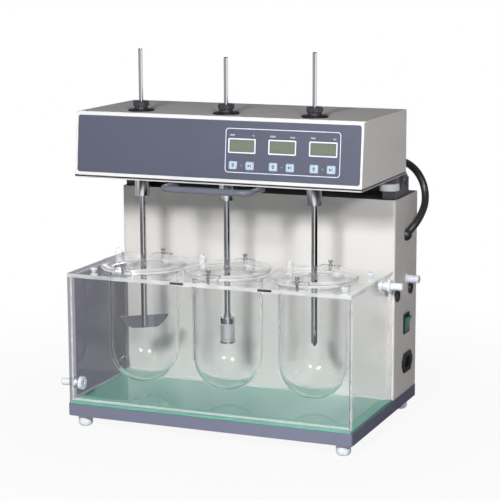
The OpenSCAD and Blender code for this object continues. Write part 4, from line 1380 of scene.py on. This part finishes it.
@dataclass
class MeshBasket(Assembly):
    """The wire cage below the middle shaft, woven from uprights and hoops."""

    radius: float = 10.3
    bottom: float = 134.7
    height: float = 33.0
    floor: float = 0.9
    rim: float = 3.0
    rim_edge: float = 0.4
    bottom_rim: float = 11.8
    top_rim: float = 11.0
    inner: float = 9.7
    wire: float = 0.4
    wire_sides: int = 6
    hoop_steps: int = 48
    uprights: int = 28
    hoops: int = 16
    steps: int = 64

    def build(self) -> None:
        """Makes the cage, its floor and its two rims."""
        low, high, inner, edge = self.bottom, self.bottom + self.height, self.inner, self.rim_edge
        sizes = {"Radius": self.radius, "Height": self.height - 2 * self.rim, "Wire": self.wire,
                 "Uprights": self.uprights, "Hoops": self.hoops}
        wires = self._tree().mesh(sizes, self.shop.finishes["woven_wire"],
                                  (0, STATION_Y, low + self.rim))
        self.shop.piece("basket_wires", wires, "stirrer_2", Coat.STEEL)
        top, outer = low + self.rim, self.bottom_rim
        rims = lathe([(0, low + self.floor), (inner, low + self.floor), (inner, top),
                      (outer - edge, top), (outer, top - edge), (outer, low + edge),
                      (outer - edge, low), (0, low)], (0, STATION_Y, 0), self.steps)
        low, outer = high - self.rim, self.top_rim
        lathe([(inner, low), (outer - edge, low), (outer, low + edge), (outer, high),
               (inner, high), (inner, low)], (0, STATION_Y, 0), self.steps, rims)
        bmesh.ops.remove_doubles(rims, verts=rims.verts, dist=POLE_MERGE)
        self.shop.piece("basket_rims", mesh_of(rims), "stirrer_2", Coat.STEEL,
                        stands_for=["basket"])

    def _tree(self) -> NodeShape:
        """Builds the tree that weaves the cage.

        Returns:
            The finished tree.
        """
        length, count = NodeShape.LENGTH, NodeShape.COUNT
        shape = NodeShape("wire_cage", {"Radius": length, "Height": length, "Wire": length,
                                        "Uprights": count, "Hoops": count})
        add, given = shape.tree.add, shape.given
        bars, section, tall = shape.round_bars("Uprights", "Height", "Wire", self.wire_sides)
        hoop = add("GeometryNodeCurvePrimitiveCircle", {
            "Resolution": self.hoop_steps, "Radius": given["Radius"]})
        ring = add("GeometryNodeCurveToMesh", {
            "Curve": hoop.outputs[0], "Profile Curve": section})
        stack = add("GeometryNodeMeshLine", {"Count": given["Hoops"], "Offset": tall},
                    mode="END_POINTS")
        levels = add("GeometryNodeInstanceOnPoints", {
            "Points": stack.outputs[0], "Instance": ring.outputs[0]})
        both = add("GeometryNodeJoinGeometry")
        for part in (bars, levels.outputs[0]):
            shape.tree.join(part, both.inputs[0])
        return shape.end(both.outputs[0])


@dataclass
class ColletNuts(Assembly):
    """Black nuts above the roof, with a ribbed grip over a plain skirt."""

    foot: float = 485.0
    outline: tuple[Pair, ...] = (
        (7.9, 0), (10.1, 0), (10.5, 0.4), (10.5, 4.2), (11.6, 5.2), (11.6, 11.8), (10.6, 12.8),
        (9.6, 13), (3.7, 13), (3.7, 11.2), (7.9, 11.2), (7.9, 0))
    steps: int = 72
    grip_radius: float = 11.55
    grip_foot: float = 5.4
    rib: float = 0.62
    rib_length: float = 6.2
    rib_sides: int = 8
    ribs: int = 28

    def build(self) -> None:
        """Makes the nuts and their ribs."""
        length = NodeShape.LENGTH
        grip = NodeShape("grip_ribs", {"Radius": length, "Count": NodeShape.COUNT,
                                       "Rib": length, "Length": length})
        grip.end(grip.round_bars("Count", "Length", "Rib", self.rib_sides)[0])
        sizes = {"Radius": self.grip_radius, "Count": self.ribs, "Rib": self.rib,
                 "Length": self.rib_length}
        outline = [(radius, self.foot + height) for radius, height in self.outline]
        for k, x in enumerate(STATION_X, 1):
            shape = lathe(outline, (x, STATION_Y, 0), self.steps)
            bmesh.ops.remove_doubles(shape, verts=shape.verts, dist=POLE_MERGE)
            self.shop.piece(f"nut_body_{k}", mesh_of(shape), f"collet_{k}", Coat.BLACK, "nut_black",
                            [f"collet_nut_{k}"])
            mesh = grip.mesh(sizes, self.shop.finishes["nut_black"],
                             (x, STATION_Y, self.foot + self.grip_foot))
            self.shop.piece(f"nut_grip_{k}", mesh, f"collet_{k}", Coat.BLACK)


@dataclass
class Screws(Assembly):
    """Cross-recessed screws of the rear cover and the head's back."""

    cover_y: float = 154.0
    cover_radius: float = 3.2
    cover_rows: tuple[tuple[tuple[int, ...], tuple[int, ...]], ...] = (
        ((-218, -110, 0, 110, 218), (50, 338)), ((-218, 218), (122, 194, 266)))
    head_y: float = 92.0
    head_radius: float = 3.0
    head_rows: tuple[tuple[tuple[int, ...], tuple[int, ...]], ...] = (
        ((-210, -105, 0, 105), (398,)),)
    height: float = 1.5
    sides: int = 24
    top_share: float = 0.72
    cross_shares: Pair = (1.1, 0.22)

    def build(self) -> None:
        """Makes the screws of the base and of the head."""
        tree = self._tree()
        rear = Vector((-math.pi / 2, 0, 0))
        for name, body, y, radius, rows in (
                ("rear_cover_screws", "base", self.cover_y, self.cover_radius, self.cover_rows),
                ("head_cover_screws", "head", self.head_y, self.head_radius, self.head_rows)):
            points = [(x, y, z) for across, up in rows for x in across for z in up]
            mesh = tree.mesh({"Radius": radius, "Height": self.height, "Turn": rear},
                             self.shop.finishes[Coat.BRIGHT], points=points)
            self.shop.piece(name, mesh, body, Coat.BRIGHT)

    def _tree(self) -> NodeShape:
        """Builds the tree that sets screws on points.

        Returns:
            The finished tree.
        """
        shape = NodeShape("screw_rows", {"Radius": NodeShape.LENGTH, "Height": NodeShape.LENGTH,
                                         "Turn": NodeShape.VECTOR})
        tree, add, given = shape.tree, shape.tree.add, shape.given
        radius, height = given["Radius"], given["Height"]
        head = add("GeometryNodeMeshCone", {
            "Vertices": self.sides, "Radius Bottom": radius, "Depth": height,
            "Radius Top": tree.math("MULTIPLY", radius, self.top_share)})
        long_side, short_side = [tree.math("MULTIPLY", radius, s) for s in self.cross_shares]
        rise = add("ShaderNodeCombineXYZ", {"Z": height}).outputs[0]
        cross = add("GeometryNodeJoinGeometry")
        for x, y in ((long_side, short_side), (short_side, long_side)):
            size = add("ShaderNodeCombineXYZ", {"X": x, "Y": y, "Z": height})
            bar = add("GeometryNodeMeshCube", {"Size": size.outputs[0]})
            lift = add("GeometryNodeTransform", {"Geometry": bar.outputs[0], "Translation": rise})
            tree.join(lift.outputs[0], cross.inputs[0])
        cut = add("GeometryNodeMeshBoolean", {
            "Mesh 1": head.outputs[0], "Mesh 2": cross.outputs[0]}, operation="DIFFERENCE")
        stand = add("GeometryNodeInstanceOnPoints", {
            "Points": given["Geometry"], "Instance": cut.outputs[0], "Rotation": given["Turn"]})
        return shape.end(stand.outputs[0])


@dataclass
class Feet(Assembly):
    """Four round feet with domed ends."""

    radius: float = 11.0
    height: float = 18.9
    dome: float = 6.5
    dome_steps: int = 8
    steps: int = 40

    def build(self) -> None:
        """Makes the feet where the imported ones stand."""
        low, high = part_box("feet")
        reach_x = high.x / MM - self.radius
        front, rear = low.y / MM + self.radius, high.y / MM - self.radius
        outline = [(0.0, 0.0)]
        outline += arc((self.radius - self.dome, self.dome), self.dome, -90, 0,
                       self.dome_steps)
        outline += [(self.radius, self.height), (0.0, self.height)]
        joined = bmesh.new()
        for x in (-reach_x, reach_x):
            for y in (front, rear):
                lathe(outline, (x, y, 0), self.steps, joined)
        self.shop.piece("round_feet", mesh_of(joined), "base", Coat.WHITE, stands_for=["feet"])


@dataclass
class LinkCable(Assembly):
    """The thick cable from the back of the head down to the side of the column."""

    route: tuple[Point, ...] = (
        (208, 99, 402), (209, 113, 401), (214, 128, 397), (222, 142, 389), (230, 152, 377),
        (237, 156, 362), (242, 153, 346), (245, 142, 331), (245, 125, 318), (241, 110, 305),
        (232, 98.5, 291.5))
    diameter: float = 11.5
    boot_radii: tuple[float, ...] = (8.4, 8.4, 7.3, 7.8, 7.0, 7.5, 6.7, 7.2, 6.4, 6.1)
    sides: int = 28
    steps: int = 6

    def path(self) -> list[Vector]:
        """Draws the smooth line through the route.

        Returns:
            Its points, in metres.
        """
        spots = scaled(self.route)
        ahead = [2 * spots[0] - spots[1], *spots, 2 * spots[-1] - spots[-2]]
        line = []
        for k in range(len(spots) - 1):
            # A smooth cubic from b to c, which looks one point back and one on.
            a, b, c, d = ahead[k:k + 4]
            for step in range(self.steps):
                t = step / self.steps
                line.append(0.5 * (2 * b + (c - a) * t + (2 * a - 5 * b + 4 * c - d) * t ** 2
                                   + (3 * b - a - 3 * c + d) * t ** 3))
        return line + [spots[-1]]

    def tube(self, line: Sequence[Vector], radii: Sequence[float]) -> bpy.types.Mesh:
        """Makes a closed tube.

        Args:
            line: Its middle line, in metres.
            radii: Its radius at each point, in metres.

        Returns:
            The mesh.
        """
        shape = bmesh.new()
        rings = []
        side = Vector((1, 0, 0))
        turns = [2 * math.pi * j / self.sides for j in range(self.sides)]
        for k, spot in enumerate(line):
            ahead = (line[min(k + 1, len(line) - 1)] - line[max(k - 1, 0)]).normalized()
            # The side is carried along the line, so the tube does not twist.
            side = (side - ahead * side.dot(ahead)).normalized()
            other = ahead.cross(side)
            rings.append([shape.verts.new(
                spot + radii[k] * (math.cos(t) * side + math.sin(t) * other))
                for t in turns])
        for low, high in zip(rings, rings[1:]):
            band(shape, low, high)
        shape.faces.new(rings[0])
        shape.faces.new(rings[-1])
        return mesh_of(shape)

    def build(self) -> None:
        """Makes the cable and the boot where it leaves the head."""
        line = self.path()
        radius = self.diameter / 2 * MM
        mesh = self.tube(line, [radius] * len(line))
        mesh.name = "link_cable"
        mesh.materials.append(self.shop.finishes[Coat.RUBBER])
        cable = shown("link_cable", mesh)
        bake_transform(cable)
        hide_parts("signal_cable")
        boot = self.tube(line[:len(self.boot_radii)], [r * MM for r in self.boot_radii])
        sleeve = self.shop.piece("cable_boot", boot, "head", Coat.RUBBER)


EASED_NODES: dict[str, tuple[Coat, float] | tuple[Coat, float, str]] = {
    "base_tray": (Coat.TRAY, 1.4),
    "column_back": (Coat.HOUSING, 0.4),
    "front_bezel": (Coat.BEZEL, 0.3), "front_panel": (Coat.PANEL, 0.2),
    "hinge_brackets": (Coat.BRACKET, 0.8), "switch_bezel": (Coat.BLACK, 0.5),
    "power_inlet": (Coat.BLACK, 0.5), "power_rocker": (Coat.GREEN, 0.6),
    "plate_buffers": (Coat.RUBBER, 0.4), "plate_pegs": (Coat.WHITE, 0.5),
    "rest_pads": (Coat.WHITE, 0.6), "column_grommets": (Coat.RUBBER, 0.4),
    "hose_nipples": (Coat.WHITE, 0.4), "head_gland": (Coat.RUBBER, 0.6),
    "bearing_sleeves": (Coat.BRIGHT, 0.4), "handle": (Coat.HANDLE, 0.3),
    "basket_cap": (Coat.STEEL, 0.3),
    **{f"shaft_{k}": (Coat.STEEL, 0.2) for k in (1, 2, 3)},
    **{f"spindle_{k}": (Coat.STEEL, 0.2) for k in (1, 2, 3)},
    **{f"key_{k}": (Coat.KEY, 0.35) for k in range(1, 7)},
    "roof_washers": (Coat.BLACK, 0.4, "washer_black"),
    "paddle_1": (Coat.STEEL, 0.3, "brushed_blade"),
    "paddle_3": (Coat.STEEL, 0.3, "brushed_blade"),
    "clamp_screws": (Coat.BRIGHT, 0.3, "satin_screw"),
    "sensor_socket": (Coat.BRIGHT, 0.3, "pale_cap"),
}
KEPT_NODES: dict[str, Coat] = {
    "hinge_pins": Coat.BRIGHT, "circulation_heater": Coat.MOTOR, "bearings": Coat.STEEL,
    "motor": Coat.MOTOR, "motor_pulley": Coat.STEEL, "drive_belts": Coat.RUBBER,
}


@dataclass
class Housings(Assembly):
    """The painted, plated and moulded pieces, with eased edges."""

    column_edge: float = 0.9
    column_slope: float = 0.99
    cover_edge: float = 0.7
    roof_slope: float = 0.95
    floor_edge: float = 0.2
    floor_z: float = 383.0
    close: float = 0.1
    seam_x: float = 229.65
    seam_y: Pair = (-117.15, 92.15)
    seam_z: Pair = (384.9, 387.3)
    seam_width: float = 5.0

    def build(self) -> None:
        """Finishes the pieces."""
        for node, row in EASED_NODES.items():
            self.shop.finished_node(node, *row)
        for node, coat in KEPT_NODES.items():
            self.shop.coat_node(node, coat)
        self._column()
        self._head_cover()
        self._head_floor()
        self._seam()

    def _column(self) -> None:
        """Makes the column, whose top below the head is black as painted shade, for the deep shadow
        under the head.
        """
        mesh = self.shop.eased(self.shop.merged("column_shell"), self.column_edge)
        top = max(v.co.z for v in mesh.vertices) - self.close * MM
        # Painted shade: the up-facing top faces take the black plastic finish.
        parts = [face.normal.z > self.column_slope and face.center.z > top
                 for face in mesh.polygons]
        self.shop.parted(mesh, (Coat.HOUSING, Coat.BLACK), parts)
        self.shop.piece("fine_column_shell", mesh, "base", Coat.HOUSING,
                        stands_for=["column_shell"])

    def _head_cover(self) -> None:
        """Makes the head's cover, whose roof is duller than its sides; the sides are lighter as
        painted light and the roof darker as painted shade.
        """
        mesh = self.shop.eased(self.shop.merged("head_cover"), self.cover_edge)
        parts = [face.normal.z > self.roof_slope for face in mesh.polygons]
        self.shop.parted(mesh, ("head_side_painted_light", "roof_painted_shade"), parts)
        self.shop.piece("fine_head_cover", mesh, "head", Coat.HOUSING, stands_for=["head_cover"])

    def _head_floor(self) -> None:
        """Makes the head's floor, with dark hinge lugs below it."""
        mesh = self.shop.eased(self.shop.merged("bottom_plate"), self.floor_edge)
        lugs = (self.floor_z - self.close) * MM
        parts = [face.center.z < lugs for face in mesh.polygons]
        self.shop.parted(mesh, (Coat.FLOOR, Coat.BRACKET), parts)
        self.shop.piece("fine_bottom_plate", mesh, "head", Coat.FLOOR, stands_for=["bottom_plate"])

    def _seam(self) -> None:
        """Makes a black rubber strip between the head's cover and its floor, as painted shadow in
        the gap between them.
        """
        shape = bmesh.new()
        rings = []
        for inset in (0.0, self.seam_width):
            x = self.seam_x - inset
            y0, y1 = self.seam_y[0] + inset, self.seam_y[1] - inset
            for z in self.seam_z:
                corners = [(-x, y0, z), (x, y0, z), (x, y1, z), (-x, y1, z)]
                rings.append([shape.verts.new(p) for p in scaled(corners)])
        low, high, low_in, high_in = rings
        for first, second in ((low, high), (high, high_in), (high_in, low_in), (low_in, low)):
            band(shape, first, second)
        self.shop.piece("head_seam_shadow_strip", mesh_of(shape, False), "head", Coat.RUBBER)


@dataclass(frozen=True)
class Lamp:
    """A square soft lamp, and the round face that polished pieces may show of it."""

    name: str
    place: Point
    size: float
    watts: float
    faced: bool = False
    mirrored: bool = True
    aim: Point = (0.0, 0.0, 0.25)
    face_radius: float = 0.34
    face_sides: int = 48
    face_glow: float = 32.0

    def hang(self) -> None:
        """Hangs the lamp, and its face where it has one."""
        data = bpy.data.lights.new(self.name, "AREA")
        data.size = self.size
        data.energy = self.watts
        lamp = shown(self.name, data)
        turn = (Vector(self.aim) - Vector(self.place)).to_track_quat("-Z", "Y")
        lamp.location = self.place
        lamp.rotation_euler = turn.to_euler()
        lamp.visible_glossy = self.mirrored
        if self.faced:
            self._face(Matrix.Translation(self.place) @ turn.to_matrix().to_4x4())

    def _face(self, frame: Matrix) -> None:
        """Makes the face, which only glass and polished metal show.

        Args:
            frame: Where it lies and how it is turned.
        """
        name = f"{self.name}_face"
        shape = bmesh.new()
        bmesh.ops.create_circle(shape, cap_ends=True, radius=self.face_radius,
                                segments=self.face_sides, matrix=frame)
        mesh = bpy.data.meshes.new(name)
        shape.to_mesh(mesh)
        shape.free()
        material, tree, _ = started(name)
        tree.show(tree.add("ShaderNodeEmission", {"Strength": self.face_glow}).outputs[0])
        mesh.materials.append(material)
        face = shown(name, mesh)
        face.visible_camera = False
        face.visible_diffuse = False
        face.visible_shadow = False


@dataclass
class Studio:
    """A plain pale floor, soft lamps and the camera at the photograph's angle."""

    azimuth: float = 22.55
    elevation: float = 10.06
    roll: float = -0.26
    distance: float = 2.6464
    lens: float = 122.66
    sensor: float = 36.0
    shift: float = -0.018
    nearest: float = 0.05
    target: Point = (-0.00023, 0.022, 0.2758)
    ambient: float = 0.07
    mirror: tuple[tuple[float, Point], ...] = (
        (0.3, (0.1, 0.1, 0.11)), (0.9, (0.25, 0.25, 0.25)))
    floor_half: float = 12.0
    floor_colour: Rgb = (204, 204, 204)
    floor_roughness: float = 0.9
    floor_specular: float = 0.1
    fade: tuple[Pair, Pair] = ((0.35, 0.9), (0.92, 1.0))
    cards: tuple[tuple[float, tuple[Pair, ...]], ...] = (
        (0.0, ((-90, 0.13), (6, 0.13), (12, 0.8), (36, 0.8), (46, 0.0), (135, 0.0),
               (155, 0.4), (230, 0.4), (250, 0.13))),
        (2.4, ((-90, 0.42), (-14, 0.42), (-6, 1.0), (30, 1.0), (42, 0.4), (60, 0.2),
               (110, 0.12), (155, 0.4), (230, 0.4), (250, 0.42))),
        (2.54, ((-90, 0.36), (-42, 0.36), (-8, 0.02), (75, 0.03), (115, 0.14), (155, 0.4),
                (230, 0.4), (250, 0.36))),
        (4.0, ((-90, 0.25), (16, 0.25), (26, 0.9), (120, 0.9), (155, 0.6), (230, 0.6),
               (250, 0.25))))
    card_glow: float = 1.4
    card_blur: float = 0.03
    lamps: tuple[Lamp, ...] = (
        Lamp("key_right", (1.75, -2.2, 1.35), 0.3, 33, faced=True),
        Lamp("key_front", (0.19, -2.43, 1.46), 0.4, 58, faced=True),
        Lamp("fill", (-1.67, -1.99, 0.43), 1.4, 2.5),
        Lamp("back", (-1.3, 2.3, 0.5), 0.9, 34, mirrored=False))

    def camera(self) -> None:
        """Places the camera."""
        data = bpy.data.cameras.new("camera")
        data.sensor_width = self.sensor
        data.sensor_fit = "HORIZONTAL"
        data.lens = self.lens
        data.shift_y = self.shift
        data.clip_start = self.nearest
        eye = shown("camera", data)
        a, e = math.radians(self.azimuth), math.radians(self.elevation)
        away = Vector((math.sin(a) * math.cos(e), -math.cos(a) * math.cos(e), math.sin(e)))
        eye.location = Vector(self.target) + away * self.distance
        turn = (-away).to_track_quat("-Z", "Y").to_matrix().to_4x4()
        turn = turn @ Matrix.Rotation(math.radians(self.roll), 4, "Z")
        eye.rotation_euler = turn.to_euler()
        bpy.context.scene.camera = eye

    def world(self) -> None:
        """Sets soft light all round, and a white surround for what looks at it."""
        world = bpy.data.worlds.new("studio")
        bpy.context.scene.world = world
        world.use_nodes = True
        tree = Tree(world.node_tree)
        soft = tree.tree.nodes["Background"]
        tree.feed(soft, {"Color": linear(WHITE), "Strength": self.ambient})
        pale = tree.add("ShaderNodeBackground", {"Color": linear(WHITE)})
        place = tree.add("ShaderNodeTexCoord").outputs["Generated"]
        depth = tree.add("ShaderNodeSeparateXYZ", {0: place}).outputs["Y"]
        shade = tree.ramp(tree.spread(depth, (-1.0, 1.0)), self.mirror)
        mirror = tree.add("ShaderNodeBackground", {"Color": shade})
        path = tree.add("ShaderNodeLightPath").outputs
        seen = tree.math("MAXIMUM", path["Is Camera Ray"], path["Is Transmission Ray"])
        unseen = tree.either(path["Is Glossy Ray"], soft.outputs[0], mirror.outputs[0])
        tree.show(tree.either(seen, unseen, pale.outputs[0]), "World Output")

    def floor(self) -> None:
        """Lays a pale floor that keeps a soft shadow."""
        half = self.floor_half
        mesh = bpy.data.meshes.new("studio_floor")
        corners = [(-half, -half, 0), (half, -half, 0), (half, half, 0), (-half, half, 0)]
        mesh.from_pydata(corners, [], [(0, 1, 2, 3)])
        material, tree, surface = started("studio_floor")
        tree.feed(surface, {
            "Base Color": linear(self.floor_colour), "Roughness": self.floor_roughness,
            "Specular IOR Level": self.floor_specular})
        place = tree.add("ShaderNodeTexCoord").outputs["Object"]
        far = tree.add("ShaderNodeVectorMath", {0: place}, operation="LENGTH").outputs["Value"]
        path = tree.add("ShaderNodeLightPath").outputs
        mirrored = path["Is Glossy Ray"]
        seen = tree.math("MAXIMUM", path["Is Camera Ray"], path["Is Transmission Ray"])
        share = tree.math("MULTIPLY", seen, tree.spread(far, *self.fade))
        # Far off, the floor fades to white; polished metal shows the cards in its place.
        cards = self._cards(tree, place, far)
        tone = tree.add("ShaderNodeMix", {
            0: mirrored, tree.NUMBER_A: 1.0, tree.NUMBER_B: cards}, data_type="FLOAT")
        glow = tree.add("ShaderNodeEmission", {"Strength": tone.outputs[0]})
        pale = tree.math("MAXIMUM", share, mirrored)
        tree.show(tree.either(pale, surface.outputs[0], glow.outputs[0]))
        mesh.materials.append(material)
        shown("studio_floor", mesh)

    def _cards(self, tree: Tree, place: Socket, far: Socket) -> Socket:
        """Makes pale and dark cards on the floor that only polished metal shows.

        Args:
            tree: The floor's tree.
            place: Where a point of the floor lies.
            far: How far it is from the middle.

        Returns:
            How pale the floor is.
        """
        turn = tree.add("ShaderNodeTexGradient", {"Vector": place}, gradient_type="RADIAL")
        tone = None
        for start, stops in self.cards:
            # Angles count from the front towards the right.
            shade = tree.ramp(turn.outputs["Fac"], [
                ((angle + 90) / 360, (value, value, value)) for angle, value in stops])
            if tone is None:
                tone = shade
                continue
            beyond = tree.spread(far, (start - self.card_blur, start + self.card_blur))
            tone = tree.mixed(beyond, tone, shade)
        return tree.math("MULTIPLY", tone, self.card_glow)

    def build(self) -> None:
        """Sets up the studio."""
        view = bpy.context.scene.view_settings
        view.view_transform = "Standard"
        self.camera()
        self.world()
        self.floor()
        for lamp in self.lamps:
            lamp.hang()


def main() -> None:
    """Builds the instrument's pieces in order."""
    logging.basicConfig(level=logging.INFO, format="%(name)s: %(message)s")
    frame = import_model()
    shop = Workshop(frame)
    Studio().build()
    for assembly in (LinkCable, Housings, Feet, WaterBath, VesselGlass, FrontPanel, MeshBasket,
                     ColletNuts, Screws):
        assembly(shop).build()
        LOG.info("%s is finished", assembly.__name__)
    bpy.context.view_layer.update()


if __name__ == "__main__":
    main()
